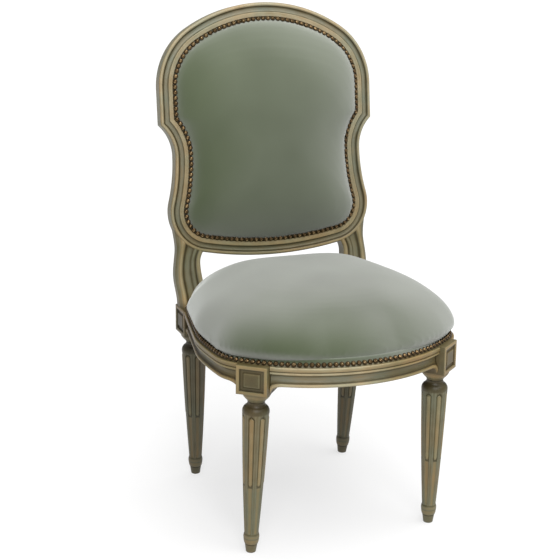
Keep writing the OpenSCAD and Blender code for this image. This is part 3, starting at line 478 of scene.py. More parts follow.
def paint_material(name, on_rail=False):
    """Colour = ramp(tone + noises) * glaze * tint with painted light and shade * painted shade under the
    seat * gain.
    """
    m, tree, shader = new_material(name)
    place = place_of(tree)
    streak = noise_of(tree, attribute_of(tree, "run", "Vector"), *STREAK)
    patch, fine = noise_of(tree, place, *PATCH), noise_of(tree, place, *FINE)
    drawn = maths(tree, "ADD", attribute_of(tree, "tone", "Fac"), around(tree, streak, 0.5, STREAK_GAIN))
    wear = maths(tree, "ADD", around(tree, patch, 0.5, PATCH_GAIN), around(tree, fine, 0.5, FINE_GAIN))
    colour = ramp_of(tree, maths(tree, "ADD", drawn, wear), PAINT_STOPS)
    glaze = ramp_of(tree, noise_of(tree, place, *CLOUD), GLAZE_STOPS)
    axes = axes_of(tree, place)
    # Painted light and shade: across the width on the rails, up the height elsewhere.
    if on_rail:
        across = span_of(tree, axes["X"], RAIL_SPAN, (0.0, 1.0), "LINEAR")
        tint_and_shade = ramp_of(tree, across, RAIL_LIGHT_AND_SHADE)
    else:
        tint_and_shade = ramp_of(tree, axes["Z"], HEIGHT_TINT_AND_SHADE)
    tinted = mix_of(tree, 1.0, colour, glaze, "MULTIPLY")
    # The tinted colour times the painted light and shade.
    aged = mix_of(tree, 1.0, tinted, tint_and_shade, "MULTIPLY")
    # Painted shade under the seat, deeper towards the rear.
    behind = span_of(tree, axes["Y"], REAR_SPAN, (0.0, REAR_SHADE))
    below = span_of(tree, axes["Z"], SEAT_SPAN, (1.0, 0.0))
    under_seat_shade = maths(tree, "SUBTRACT", 1.0, maths(tree, "MULTIPLY", behind, below))
    shaded = scaled(tree, aged, maths(tree, "MULTIPLY", under_seat_shade, PAINT_GAIN))
    tree.links.new(shaded, shader.inputs["Base Color"])
    rough = span_of(tree, patch, (0.0, 1.0), (0.34, 0.56), "LINEAR")
    tree.links.new(rough, shader.inputs["Roughness"])
    shader.inputs["Specular IOR Level"].default_value = 0.36
    bump_of(tree, maths(tree, "ADD", streak, fine), shader, 0.3, 0.0004)
    return m


paint, rail_paint = paint_material("rubbed_paint"), paint_material("rubbed_rail_paint", True)
print("paint ramp:", len(PAINT_STOPS), "colours")


# %% Handing a finished piece over
def dress(piece, material):
    """Gives a piece one material."""
    piece.data.materials.clear()
    piece.data.materials.append(material)


def finish_piece(piece, material, slot, *nodes):
    """Gives the piece its material and hides the solids it stands for. The slot is not used."""
    dress(piece, material)
    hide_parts(*nodes)
    return piece


# %% [markdown]
# The seat rails carry one moulding all round. The front rail runs from block to
# block, and each side rail goes on round the corner to the rear leg. Under each end
# a small bracket curves down to meet the block, so the section's lower edge is
# lowered there by a smooth curve.

# %% Seat rails
BRACKET_L, BRACKET_DROP, HOLLOW_H = 24.0, 14.0, 15.5
BLOCK_FACE_R, TUCK_ANGLE = 290.0, 0.15
REAR_BLOCK_Y, TENON_L = 133.5, 20.0
FACE_POINT = len(section) // 3


def bracket_drop(distance):
    """Drop of the rail's lower edge at a distance from the block's face:
    a quarter circle scaled to the bracket's length and height."""
    t = np.clip(distance / BRACKET_L, 0, 1)
    return BRACKET_DROP * (1 - np.sqrt(1 - (1 - t) ** 2))


def rail_piece(name, lines, mirrored=False):
    """A rail over plan lines (n, k, 2), one for each point of the section. The
    points below the hollow's middle are lowered near both ends."""
    along = path_length(lines[FACE_POINT])
    drop = np.maximum(bracket_drop(along), bracket_drop(np.abs(along - along[-1])))
    z = section[:, 1][:, None]
    rings = rings_over(lines, z - np.clip((RAIL_LOW + HOLLOW_H - z) / HOLLOW_H, 0, 1) ** 1.2 * drop)
    rings = mirror_x(rings) if mirrored else rings
    piece = sweep_mesh(name, rings, section[:, 2], along, path_length(section[:, :2]))
    print(name, round(along[-1]), "mm along its outer face")
    return finish_piece(piece, rail_paint, "paint", name)


half_angle = math.degrees(math.asin(BLOCK_W / 2 / BLOCK_FACE_R)) - TUCK_ANGLE
front_span = np.linspace(-90 - BLOCK_ANGLE + half_angle, -90 + BLOCK_ANGLE - half_angle, 121)
rail_piece("front_rail", (FRONT_R + section[:, 0])[:, None, None] * direction(front_span)[None])

side_start = -90 + BLOCK_ANGLE + half_angle
side_lines = side_chain(section[:, 0], side_start, (4, 30, 20, 14, 16), REAR_BLOCK_Y)
for side in ("left", "right"):
    rail_piece("side_rail_" + side, side_lines, side == "left")

rear_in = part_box("rear_rail")[1].x * 1000 - TENON_L
rear_x = np.linspace(-rear_in, rear_in, 40)
rear_y = (REAR_NAIL_Y + section[:, 0])[:, None]
rail_piece("rear_rail", np.stack(np.broadcast_arrays(-rear_x[None], rear_y), -1))

# %% [markdown]
# A leg is turned, so it is a profile spun round an axis, with seven flutes cut into
# it. The upper part of each flute holds a half-round rod, and the lower part is left
# as a plain hollow. All of it is a change of radius over angle and height, so each
# leg is one grid. The same pattern gives the tones.

# %% Profile of the turned leg
SHAFT_LOW, SHAFT_HIGH = 40, 288


def swelling(p, q, rise, tones, n):
    """A stroke that swells outwards by 4 rise t (1 - t)."""
    t = np.linspace(0, 1, n, endpoint=False)
    r = p[0] + (q[0] - p[0]) * t + 4 * rise * t * (1 - t)
    tone = np.interp(t, np.linspace(0, 1, len(tones)), tones)
    return np.column_stack([r, p[1] + (q[1] - p[1]) * t, tone])


def leg_profile():
    """Radii, heights and tones of the plain turned shape, from the floor up."""
    return np.concatenate([
        stroke((0, 0), (8.0, 0), 0.1, 0.1, 3),
        curve((8.0, 1.8), 1.8, -90, -10, (0.1, 0.2), 5),
        stroke((9.8, 2.0), (12.1, 17.2), 0.44, 0.4, 14),
        stroke((12.1, 17.2), (11.8, 18.2), 0.15, 0.0, 3),
        stroke((11.8, 18.2), (13.2, 19.0), 0.0, 0.5, 3),
        swelling((13.2, 19.0), (15.1, 29.4), 0.35, (0.62, 0.72, 0.7), 9),
        stroke((15.1, 29.4), (14.9, 30.4), 0.4, 0.4, 3),
        swelling((15.3, 30.8), (13.8, 40.0), 0.6, (0.5, 0.58, 0.72, 0.5, 0.35, 0.2), 14),
        swelling((13.7, 40.3), (24.9, 271.5), 1.1, (0.4, 0.4), 200),
        stroke((24.9, 271.5), (25.6, SHAFT_HIGH), 0.38, 0.26, 14),
        curve((12.7, 289.5), 13.0, -4, 62, (0.26, 0.2, 0.14), 20),
        stroke((18.7, 301.2), (16.6, 304.6), 0.14, 0.16, 4),
        stroke((16.5, 304.8), (16.1, 308.6), 0.16, 0.2, 4),
        stroke((16.1, 308.6), (15.7, 309.8), 0.05, 0.03, 3),
        swelling((16.6, 310.3), (18.0, 312.6), 0.4, (0.3, 0.5, 0.4), 5),
        swelling((18.2, 312.8), (26.8, 323.6), 0.9, (0.3, 0.55, 0.7, 0.76), 12),
        stroke((26.8, 323.6), (27.4, BLOCK_LOW + 1), 0.74, 0.7, 4),
        stroke((27.4, BLOCK_LOW + 1), (0.4, BLOCK_LOW + 1), 0.4, 0.4, 4),
    ])


# %% Flutes and rods
FLUTES, STEPS_A_FLUTE = 7, 30
FLUTE_HIGH, FLUTE_LOW = BLOCK_LOW - 41, 41.0
ROD_HIGH, ROD_LOW = FLUTE_HIGH - 6.5, FLUTE_HIGH - 145
FULL_R, FLUTE_HALF, FLUTE_DEEP, ROD_HALF = 25.0, 6.4, 3.2, 4.9
POINT_L, FOOT_L, GROOVE_L, GROOVE_TONE, MEAN_R = 7.5, 3, 6, 0.26, 20


def flute_shape(r, z, x):
    """Depth below the shaft and tone at arc distance x from a flute's middle. The
    channel is deep * sqrt(1 - q^2) with q = x / half, its top drawn to a point and
    its foot rounded. The rod stands in it: a circle's arc with w = x / rod's half,
    rod * (1 - sqrt(1 - w^2)), pressed flat. All sizes shrink with the leg's radius."""
    share = r / FULL_R
    half, deep = FLUTE_HALF * share, FLUTE_DEEP * share
    point = np.clip((FLUTE_HIGH - z) / POINT_L, 1e-3, 1) ** 0.75
    past = np.maximum(FLUTE_LOW + FOOT_L - z, 0)
    q = np.minimum(np.sqrt((x / point) ** 2 + past * past) / half, 1)
    channel = deep * point * np.sqrt(1 - q**2)
    lip = np.exp(-(((np.abs(x) / half - 1.25) / 0.3) ** 2))
    tone = np.where(q < 1, 0.78 - 0.36 * q**4, 0.4 + 0.12 * lip)
    rod_half = ROD_HALF * share
    tip_high = np.maximum(z - ROD_HIGH + 0.8 * rod_half, 0) * 1.2
    tip = tip_high + np.maximum(ROD_LOW + 1.6 * rod_half - z, 0) * 0.6
    w = np.sqrt(x * x + tip * tip) / rod_half
    rod = 0.5 * rod_half * (1 - np.sqrt(np.clip(1 - w * w, 0, 1))) - 0.3 * share
    in_rod = (w < 1) & (z > ROD_LOW)
    depth = np.where(in_rod, np.minimum(rod, channel), channel)
    tone = np.where(in_rod, 0.85 - 0.3 * w**6, tone)
    groove = (~in_rod) & (q < 0.97) & (z > ROD_LOW - GROOVE_L * share)
    return depth, np.where(groove, GROOVE_TONE, tone)


def turned_leg(phase):
    """The profile spun round: p = (radius cos a, radius sin a, z), with the flutes'
    depth taken off the shaft's radius. Gives rings, tones, across and along."""
    r, z, tone = leg_profile().T
    angle = np.linspace(0, 360, FLUTES * STEPS_A_FLUTE, endpoint=False)
    pitch = 360 / FLUTES
    near = (angle - phase + pitch / 2) % pitch - pitch / 2
    x = np.radians(near)[None] * r[:, None]
    height = np.broadcast_to(z[:, None], x.shape)
    depth, flute_tone = flute_shape(r[:, None], height, x)
    shaft = ((z > SHAFT_LOW) & (z < SHAFT_HIGH))[:, None]
    radius = r[:, None] - np.where(shaft, depth, 0)
    tones = np.where(shaft & (height < FLUTE_HIGH + 1), flute_tone, tone[:, None])
    rings = np.concatenate([radius[..., None] * direction(angle)[None], height[..., None]], -1)
    return rings, tones, np.broadcast_to(np.radians(angle)[None] * MEAN_R, x.shape), z


def lean(distance):
    """The angle atan2(distance, head) that brings a leg's foot out by a distance."""
    return math.degrees(math.atan2(distance, BLOCK_LOW))


def leg_part(phase, centre, back_by, in_by):
    """A turned leg that leans about its head under a block's centre, so that its
    foot stands back_by behind and in_by inside it: R(y) R(x) p, with p's height
    stretched by 1 / (cos a cos b) so that the foot still reaches the floor."""
    rings, tones, across, along = turned_leg(phase)
    a, b = math.radians(lean(back_by)), math.radians(lean(in_by))
    rx = np.array([[1, 0, 0], [0, math.cos(a), -math.sin(a)], [0, math.sin(a), math.cos(a)]])
    ry = np.array([[math.cos(b), 0, math.sin(b)], [0, 1, 0], [-math.sin(b), 0, math.cos(b)]])
    p = rings - np.array([0, 0, BLOCK_LOW])
    stretch = np.array([1, 1, 1 / (math.cos(a) * math.cos(b))])
    p = (p * stretch) @ (ry @ rx).T + np.array([*centre, BLOCK_LOW])
    p[..., 2] = np.maximum(p[..., 2], 0)
    return p, tones, across, along


# How far a block's outer face stands out from the line of nails.
FRONT_STEP, REAR_STEP = 19, 16.5
front_c = (FRONT_R + FRONT_STEP - BLOCK_W / 2) * direction(-90 + BLOCK_ANGLE)
rear_c = hind_point(0, REAR_LEG_Y)[0] + np.array([REAR_STEP - BLOCK_W / 2, 0])
print("leg centres:", front_c.round(1), rear_c.round(1))

# %% [markdown]
# Each leg has a square block with a sunk panel: a raised frame, a dark channel with
# sloping sides and a small flat field. It is a set of nested squares at different
# depths, one closed surface, with its tones on the squares.

# %% Blocks
BLOCK_STEPS, FRAME_EDGE = 12, 26
BLOCK_RINGS = [
    (30.5, 58.0, 0.22), (30.5, 2.0, 0.3), (30.0, 0.5, 0.66), (29.0, 0.0, 0.78), (26.5, 0.0, 0.78),
    (24.6, 0.1, 0.76), (24.0, 0.5, 0.6), (23.6, 3.5, 0.12), (23.0, 4.1, 0.1), (21.8, 4.1, 0.2),
    (18.6, 4.1, 0.28), (17.4, 3.9, 0.16), (16.6, 3.3, 0.12), (15.2, 1.4, 0.36), (14.4, 1.0, 0.42),
    (13.0, 1.0, 0.28), (7.0, 1.1, 0.24), (0.5, 1.1, 0.22),
]


def block_rings(height):
    """Nested squares (half width, depth) from the back of the block round to the
    middle of its face. Inside the frame they keep one margin on all four sides."""
    t = np.linspace(-1, 1, BLOCK_STEPS, endpoint=False)
    one = np.ones(BLOCK_STEPS)
    square = np.concatenate([np.column_stack(p) for p in ((t, -one), (one, t), (-t, one), (-one, -t))])
    rings = []
    for size, depth, _ in BLOCK_RINGS:
        flat = size * square * np.array([1, height / BLOCK_W])
        if size < FRAME_EDGE:
            flat = square * np.array([size, max(size - (BLOCK_W - height) / 2, 0.4)])
        rings.append(np.column_stack([flat[:, 0], np.full(len(flat), depth), flat[:, 1]]))
    return np.array(rings)


def block_part(centre, turn):
    """A block, whose face looks along -Y before it is turned about its centre."""
    p = block_rings(BLOCK_HIGH - BLOCK_LOW) - np.array([0, BLOCK_W / 2, 0])
    a = math.radians(turn)
    r = np.array([[math.cos(a), -math.sin(a), 0], [math.sin(a), math.cos(a), 0], [0, 0, 1]])
    table = np.array(BLOCK_RINGS)
    rings = p @ r.T + np.array([*centre, (BLOCK_LOW + BLOCK_HIGH) / 2])
    return rings, table[:, 2:], np.zeros(rings.shape[1]), path_length(table[:, :2])


print("block:", len(BLOCK_RINGS), "nested squares")

# %% [markdown]
# The posts carry the back. Each one swells gently at its outer edge, is hollowed at
# its inner edge, and ends in a curve against the frame's lower corner. Its front
# carries a bead, a hollow and a bead, squeezed and widened with the post.

# %% The back's own plane
TILT, FRAME_T = 7.2, 29.0
BACK_Y = REAR_LEG_Y + BLOCK_W / 2 - FRAME_T / math.cos(math.radians(TILT)) - 0.5
PANEL_LOW, PANEL_H, FRAME_OUT = 123.0, 460.0, 34.0
LOW_CORNER_R, HIP_R, BOTTOM_R = 52.0, 400.0, 720.0
hip_c = np.array([574.0, 308.0])
bottom_c = np.array([0.0, PANEL_LOW + BOTTOM_R])
low_corner_c = meet(hip_c, HIP_R + LOW_CORNER_R, bottom_c, BOTTOM_R - LOW_CORNER_R)


def to_back(p):
    """From the back's own plane (across, up the slope, out of the face) to the plan
    frame: the plane leans back about the line where it meets the rails' top."""
    a = math.radians(TILT)
    x, w, t = p[..., 0], p[..., 1], p[..., 2]
    y = BACK_Y + w * math.sin(a) - t * math.cos(a)
    z = RAIL_TOP + w * math.cos(a) + t * math.sin(a)
    return np.stack([x, y, z], -1)


print("lower corner of the back at", low_corner_c.round(1))

# %% Back posts
POST_FOOT, POST_BACK, POST_L = -9.0, -28.9, 110
SWELL, SWELL_L, HOLLOW, HOLLOW_L, FALL_R = 6, 118, 10, 83, 76
FLARE, FLARE_L = 3.5, 14
POST_FACE = [
    (0.0, -2.4, 0.6), (0.03, -1.0, 0.9), (0.08, 0.0, 0.95), (0.15, -0.2, 0.86), (0.19, -1.6, 0.2),
    (0.215, -2.2, 0.05), (0.25, -1.0, 0.35), (0.31, -0.4, 0.56), (0.37, -1.2, 0.45), (0.41, -3.4, 0.2),
    (0.47, -4.4, 0.5), (0.55, -4.7, 0.62), (0.63, -4.0, 0.45), (0.69, -2.4, 0.1), (0.72, -2.0, 0.2),
    (0.76, -0.6, 0.85), (0.82, 0.0, 1.0), (0.88, -0.5, 0.8), (0.93, -1.9, 0.45), (0.97, -3.6, 0.42),
    (1.0, -6.0, 0.4),
]


def post_section():
    """Share of the width from the inner edge, height over the face, tone."""
    table = np.array(POST_FACE)
    t, keys = np.linspace(0, 1, 66), np.linspace(0, 1, len(table))
    return np.concatenate([
        stroke((0.0, POST_BACK), (0.0, -3.0), 0.3, 0.42, 6),
        np.column_stack([np.interp(t, keys, table[:, k]) for k in range(3)]),
        stroke((1.0, -8.0), (1.0, -26.0), 0.4, 0.38, 6),
        stroke((0.95, POST_BACK), (0.05, POST_BACK), 0.38, 0.35, 8),
    ])


def post_edges(w):
    """Inner and outer edge at height w: each is the block's edge moved by a wave
    0.5 - 0.5 cos, and above the hollow the inner one falls away by (w - l)^2 / r."""
    block_out, block_in = rear_c[0] + BLOCK_W / 2, rear_c[0] - BLOCK_W / 2
    outer = block_out - 1.5 + SWELL * (0.5 - 0.5 * np.cos(np.radians(360 * w / SWELL_L)))
    rise = 0.8 + HOLLOW * (0.5 - 0.5 * np.cos(np.pi * np.clip(w, 0, HOLLOW_L) / HOLLOW_L))
    inner = block_in + rise - np.maximum(w - HOLLOW_L, 0) ** 2 / FALL_R
    return inner, outer


def post_rings(shape):
    """Rings up the post. Each point's height is its share v of the way from the foot
    to the frame's corner circle above it, found in three rounds. The foot flares
    forward by FLARE exp(-w / FLARE_L)."""
    rings = []
    for v in np.linspace(0, 1, 60):
        w = np.full(len(shape), POST_FOOT + POST_L * v)
        for _ in range(3):
            inner, outer = post_edges(w)
            x = inner + shape[:, 0] * (outer - inner)
            reach = (LOW_CORNER_R + FRAME_OUT - 1.0) ** 2 - (x - low_corner_c[0]) ** 2
            top = low_corner_c[1] - np.sqrt(np.clip(reach, 0, None))
            w = POST_FOOT + (top - POST_FOOT) * v
        foot = np.exp(-np.maximum(w, 0) / FLARE_L) * FLARE * (1 - shape[:, 1] / POST_BACK)
        rings.append(np.column_stack([x, w, shape[:, 1] + np.clip(foot, 0, None)]))
    return np.array(rings)


post_shape = post_section()
posts = post_rings(post_shape)
print("post:", len(posts), "rings")

# %% [markdown]
# A leg is one piece of wood from the floor to the block, and the rear ones go on up
# as posts. Each is joined from its closed parts into one mesh. The front left leg's
# flutes are turned a little further round than the right one's, as in the photograph.

# %% Front and rear legs
FRONT_RAKE, FRONT_SPLAY = 12, 5
FRONT_PHASE, FRONT_PHASE_LEFT = -42, -51
REAR_RAKE, REAR_TOE_IN, REAR_PHASE = 20, 9, 12
POST_W = 45
EDGE = np.array([
    (-RAIL_IN, BLOCK_HIGH - 1, 0.3), (-RAIL_IN, RAIL_TOP, 0.3), (-3.5, RAIL_TOP, 0.3),
    (4.5, BLOCK_HIGH, 0.35), (4.5, BLOCK_HIGH - 1, 0.3),
])


def join_parts(name, parts, node):
    """One mesh from closed sweeps: (rings, tones, across, along)."""
    pieces = []
    for k, (rings, tones, across, along) in enumerate(parts):
        pieces.append(sweep_mesh(f"{name}_{k}", rings, tones, along, across))
    with bpy.context.temp_override(
        active_object=pieces[0], selected_editable_objects=pieces, selected_objects=pieces, object=pieces[0]
    ):
        bpy.ops.object.join()
    pieces[0].name = name
    return finish_piece(pieces[0], paint, "paint", node)


def edge_part(lines):
    """The sloping edge that carries the nails, over a block: lines (n, k, 2)."""
    rings = rings_over(lines, EDGE[:, 1][:, None])
    return rings, EDGE[:, 2], path_length(EDGE[:, :2]), path_length(lines[0])


def front_leg_parts(phase):
    """The turned leg, its block and the strip of sloping edge above the block."""
    middle, half = -90 + BLOCK_ANGLE, half_angle + 2 * TUCK_ANGLE
    over_block = direction(np.linspace(middle - half, middle + half, 12))
    return [
        leg_part(phase, front_c, FRONT_RAKE, -FRONT_SPLAY),
        block_part(front_c, BLOCK_ANGLE),
        edge_part((FRONT_R + EDGE[:, 0])[:, None, None] * over_block[None]),
    ]


edge_y = np.linspace(REAR_LEG_Y - BLOCK_W / 2 + 0.1, REAR_LEG_Y + 2, 6)
beside_post = [hind_point(EDGE[:, 0], y)[:, None] for y in edge_y]
rear_parts = [
    leg_part(REAR_PHASE, rear_c, REAR_RAKE, REAR_TOE_IN),
    block_part(rear_c, 90),
    edge_part(np.concatenate(beside_post, 1)),
    (to_back(posts), post_shape[:, 2], path_length(post_shape[:, :2] * [POST_W, 1]), posts[:, 0, 1]),
]
for place, right_parts, left_parts in (
    ("front", front_leg_parts(FRONT_PHASE), front_leg_parts(FRONT_PHASE_LEFT)),
    ("rear", rear_parts, rear_parts),
):
    join_parts(place + "_leg_right_visual", right_parts, place + "_leg_right")
    mirrored = [(mirror_x(rings), *rest) for rings, *rest in left_parts]
    join_parts(place + "_leg_left_visual", mirrored, place + "_leg_left")
print("legs and posts made")

# %% [markdown]
# The back frame is one moulding around the panel: a bowed bottom, tight lower
# corners, a long hollow side, the shoulder with its sharp mitre, and the round top.
# Four pieces of wood make it, with joints under the shoulders and at the corners.

# %% Outline of the back
CREST_R, CREST_CORNER_R, CREST_HALF, SHOULDER_R = 280.0, 110.0, 202.0, 120.0
BACK_STEPS, STRAIGHT_STEPS = (24, 44, 40, 34, 44, 40), 8
shoulder_c = np.array([294.0, 308.0])
crest_c = np.array([0.0, PANEL_LOW + PANEL_H - CREST_R])
x = CREST_HALF - CREST_CORNER_R
crest_corner_c = np.array([x, crest_c[1] + math.sqrt((CREST_R - CREST_CORNER_R) ** 2 - x * x)])
crest_end = heading(crest_corner_c - crest_c)
hip_end = heading(low_corner_c - hip_c) + 360
bottom_end = heading(low_corner_c - bottom_c)
low_start = heading(hip_c - low_corner_c)


def shoulder_at(s):
    """The mitre: where the straight side x = w + s meets the hollow arc,
    y = cy + sqrt((r - s)^2 - (cx - x)^2)."""
    px = CREST_HALF + s
    return np.stack([px, shoulder_c[1] + np.sqrt((SHOULDER_R - s) ** 2 - (shoulder_c[0] - px) ** 2)], -1)


def back_half(s):
    """Right half of a line around the panel at offsets s, from the bottom up."""
    s = np.atleast_1d(np.asarray(s, float))
    corner = shoulder_at(s)
    n = BACK_STEPS
    first = chain([
        (bottom_c, BOTTOM_R, -90, bottom_end, n[0], 1),
        (low_corner_c, LOW_CORNER_R, bottom_end, low_start, n[1], 1),
        (hip_c, HIP_R, hip_end, 180, n[2], -1),
    ], s)
    t = np.linspace(0, 1, n[3], endpoint=False)
    end = np.degrees(np.arctan2(corner[:, 1] - shoulder_c[1], corner[:, 0] - shoulder_c[0]))
    angles = 180 + (end[:, None] - 180) * t[None]
    bend = shoulder_c + (SHOULDER_R - s)[:, None, None] * direction(angles)
    rise = np.linspace(0, 1, STRAIGHT_STEPS, endpoint=False)[None, :, None]
    straight_end = np.stack([CREST_HALF + s, np.full(len(s), crest_corner_c[1])], -1)
    straight = corner[:, None] + (straight_end - corner)[:, None] * rise
    last = chain([
        (crest_corner_c, CREST_CORNER_R, 0, crest_end, n[4], 1),
        (crest_c, CREST_R, crest_end, 90, n[5], 1),
    ], s)
    top = np.stack([np.zeros(len(s)), crest_c[1] + CREST_R + s], -1)[:, None]
    return np.concatenate([first, bend, straight, last, top], 1)


def back_loop(s):
    """The whole line: the right half and its mirror image back down."""
    half = back_half(s)
    return np.concatenate([half, half[:, 1:-1][:, ::-1] * np.array([-1, 1])], 1)


# %% Back frame
COVE_R, COVE_HALF_W = 5.506, 5


def frame_section():
    """Section of the back frame: offset outwards from the nails, height over the
    face, tone. It starts inside, under the pad, and runs out over the face."""
    half = math.degrees(math.asin(COVE_HALF_W / COVE_R))
    cove_tones = (0.34, 0.5, 0.6, 0.56, 0.42, 0.26)
    return np.concatenate([
        stroke((-12, 0), (-5, 0), 0.3, 0.3, 3),
        stroke((-5, 0), (5, -5), 0.3, 0.3, 5),
        stroke((5, -5), (5, -2.7), 0.1, 0.85, 3),
        curve((6.2, -3.2), 1.0, 150, 80, (0.85, 0.95), 3),
        stroke((6.4, -2.2), (13.2, -0.8), 0.92, 0.86, 6),
        curve((13.4, -1.8), 1.0, 90, 10, (0.95, 0.7), 4),
        stroke((14.5, -2.0), (15.2, -2.2), 0.4, 0.3, 2),
        curve((20, COVE_R - 4.7), COVE_R, 270 - half, 270 + half, cove_tones, 16),
        stroke((25, -1.6), (25.7, -3.4), 0.25, 0.14, 3),
        curve((30, -4), 4.2, 150, 0, (0.16, 0.75, 1.0, 0.9, 0.7, 0.55), 16),
        stroke((34.1, -4.5), (34, -8), 0.35, 0.4, 3),
        stroke((34, -8), (34, -26), 0.5, 0.44, 6),
        curve((31, -26), 3.0, 0, -90, (0.5, 0.7, 0.5), 5),
        stroke((31, -29), (4, -29), 0.4, 0.35, 5),
        stroke((4, -29), (4, -26), 0.3, 0.3, 2),
        stroke((4, -26), (-12, -26), 0.3, 0.3, 3),
        stroke((-12, -26), (-12, 0), 0.3, 0.3, 4),
    ])


frame_shape = frame_section()
loops = back_loop(frame_shape[:, 0])
count = loops.shape[1]
nail_line = back_loop(0)[0]
closed_length = path_length(np.concatenate([nail_line, nail_line[:1]]))


def frame_piece(name, first, last, node):
    """The frame's section swept from one station round the panel to another."""
    index = np.arange(first, last + 1) % count
    rings = to_back(rings_over(loops[:, index], frame_shape[:, 1][:, None]))
    along = closed_length[index]
    along = np.where(along < closed_length[index[0]], along + closed_length[-1], along)
    piece = sweep_mesh(name, rings, frame_shape[:, 2], along, path_length(frame_shape[:, :2]))
    return finish_piece(piece, paint, "paint", node)


low_joint, high_joint = BACK_STEPS[0], sum(BACK_STEPS[:4]) + STRAIGHT_STEPS
frame_piece("crest_rail_visual", high_joint, count - high_joint, "crest_rail")
frame_piece("back_stile_right_visual", low_joint, high_joint, "back_stile_right")
frame_piece("back_stile_left_visual", count - high_joint, count - low_joint, "back_stile_left")
frame_piece("back_bottom_visual", count - low_joint, count + low_joint, "back_bottom_rail")
print("back frame:", count, "stations round the panel")

# %% [markdown]
# The velvet is a short pile. Seen from above the pile it is deep sage green, and at
# a grazing angle its tips catch the light and turn pale grey. The shader's sheen does
# most of that, and a Layer Weight node adds a painted sheen: it mixes the colour
# towards pale grey towards the rim. A faint broad noise stands for places where a hand
# brushed the pile the other way, a very fine bump for the pile itself, and a painted
# light makes the colour lighter towards the top of the back.

# %% Velvet
# Painted light: the velvet grows lighter up the back between these heights in metres, up to this gain.
TOP_LIGHT_SPAN, TOP_LIGHT_GAIN = (0.64, 0.97), 1.28


def velvet_material():
    """Colour = (dye mixed with a pale painted sheen by the facing) * painted light by height."""
    m, tree, shader = new_material("sage_velvet")
    place = place_of(tree)
    brushed = noise_of(tree, place, 5.0, 2)
    pile = noise_of(tree, place, 2600.0, 2)
    dye = ramp_of(tree, brushed, [(0.35, "4a523e"), (0.65, "535b47")])
    # Painted sheen: the colour turns towards pale grey at grazing angles.
    tips = ramp_of(tree, brushed, [(0.35, "8a8c86"), (0.65, "949690")])
    rim = add_node(tree, "ShaderNodeLayerWeight", Blend=0.78).outputs["Facing"]
    # Painted light: lighter towards the top of the back.
    painted_top_light = span_of(tree, axes_of(tree, place)["Z"], TOP_LIGHT_SPAN, (1.0, TOP_LIGHT_GAIN))
    velvet_with_painted_light = scaled(tree, mix_of(tree, rim, dye, tips), painted_top_light)
    tree.links.new(velvet_with_painted_light, shader.inputs["Base Color"])
    set_sockets(shader, {
        "Roughness": 0.95, "Specular IOR Level": 0.05,
        "Sheen Weight": 0.7, "Sheen Roughness": 0.38, "Sheen Tint": hex_rgb("e6e9e6"),
    })
    bump_of(tree, pile, shader, 0.3, 0.0005)
    return m


velvet = velvet_material()
print("velvet made")

# %% [markdown]
# The seat is a domed pad, held down by nails all round its edge and cut out around
# the posts. Its outline is drawn toward the middle in rings that rise like a well
# stuffed pad: steep at the edge and nearly flat on top. The corners and the cut-outs
# fade out of the rings on the way, so that they don't show on the top.

# %% Outline of the seat pad
PAD_POINTS, SEAT_STEPS = 300, (60, 22, 24, 14, 24)
NOTCH_X, NOTCH_Y = rear_c[0] - BLOCK_W / 2 - 3.0, BACK_Y - 3.0
NOTCH_OUT_R, NOTCH_IN_R, REAR_CORNER_R = 6.0, 4, 5


def corner_arc(c, r, a0, a1, n):
    """n points of c + r (cos a, sin a)."""
    return np.asarray(c, float) + r * direction(np.linspace(a0, a1, n))


def seat_loop(s):
    """Closed outline of the pad at offset s from the nails: the right half with its
    cut-out round the post, and its mirror image."""
    side = side_chain(s, -90, SEAT_STEPS, NOTCH_Y + s)[0]
    end = side[-1]
    x_in, y_in, y_back = NOTCH_X + s, NOTCH_Y + s, REAR_NAIL_Y + s
    out_r, in_r, rear_r = NOTCH_OUT_R, NOTCH_IN_R, REAR_CORNER_R
    outer = corner_arc((end[0] - out_r, end[1] - out_r), out_r, 10, 90, 6)
    inner = corner_arc((x_in + in_r, y_in + in_r), in_r, 270, 180, 5)
    rear = corner_arc((x_in - rear_r, y_back - rear_r), rear_r, 0, 90, 6)
    across = np.column_stack([np.linspace(x_in - 8, 0, 40), np.full(40, y_back)])
    half = np.concatenate([side[:-2], outer, inner, rear, across])
    return np.concatenate([half, half[1:-1][::-1] * np.array([-1, 1])])


def spots_on(line, at, want):
    """The line's points at distances want, where its own points lie at distances at."""
    return np.column_stack([np.interp(want, at, line[:, k]) for k in range(2)])


def even_loop(points):
    """A closed outline with its points evenly spaced."""
    closed = np.concatenate([points, points[:1]])
    at = path_length(closed)
    return spots_on(closed, at, np.linspace(0, at[-1], PAD_POINTS, endpoint=False))


def softened(loop, spread):
    """The loop without its sharp turns: each frequency n of the points x + iy is
    kept by the share exp(-(n / spread)^2)."""
    n = np.fft.fftfreq(len(loop), 1 / len(loop))
    z = np.fft.ifft(np.fft.fft(loop[:, 0] + 1j * loop[:, 1]) * np.exp(-((n / spread) ** 2)))
    return np.column_stack([z.real, z.imag])


print("seat outline:", len(seat_loop(0)), "points")

# %% A pad's surface
PAD_RINGS, FADE_FROM = 40, 0.7
BULGE_FULL, BULGE_FALL, BULGE_GONE = 0.13, 0.2, 0.8


def crown(f, power, edge, dome=0.0):
    """Height of a pad at a share f of the way out: (1 - f^power)^edge, blended by
    the share dome with a plain 1 - f^2."""
    f = np.clip(f, 0, 1)
    return (1 - dome) * (1 - f**power) ** edge + dome * (1 - f * f)


def at_height(line, z):
    """A flat ring: the line's points, all at one height."""
    return np.column_stack([line, np.full(len(line), z)])


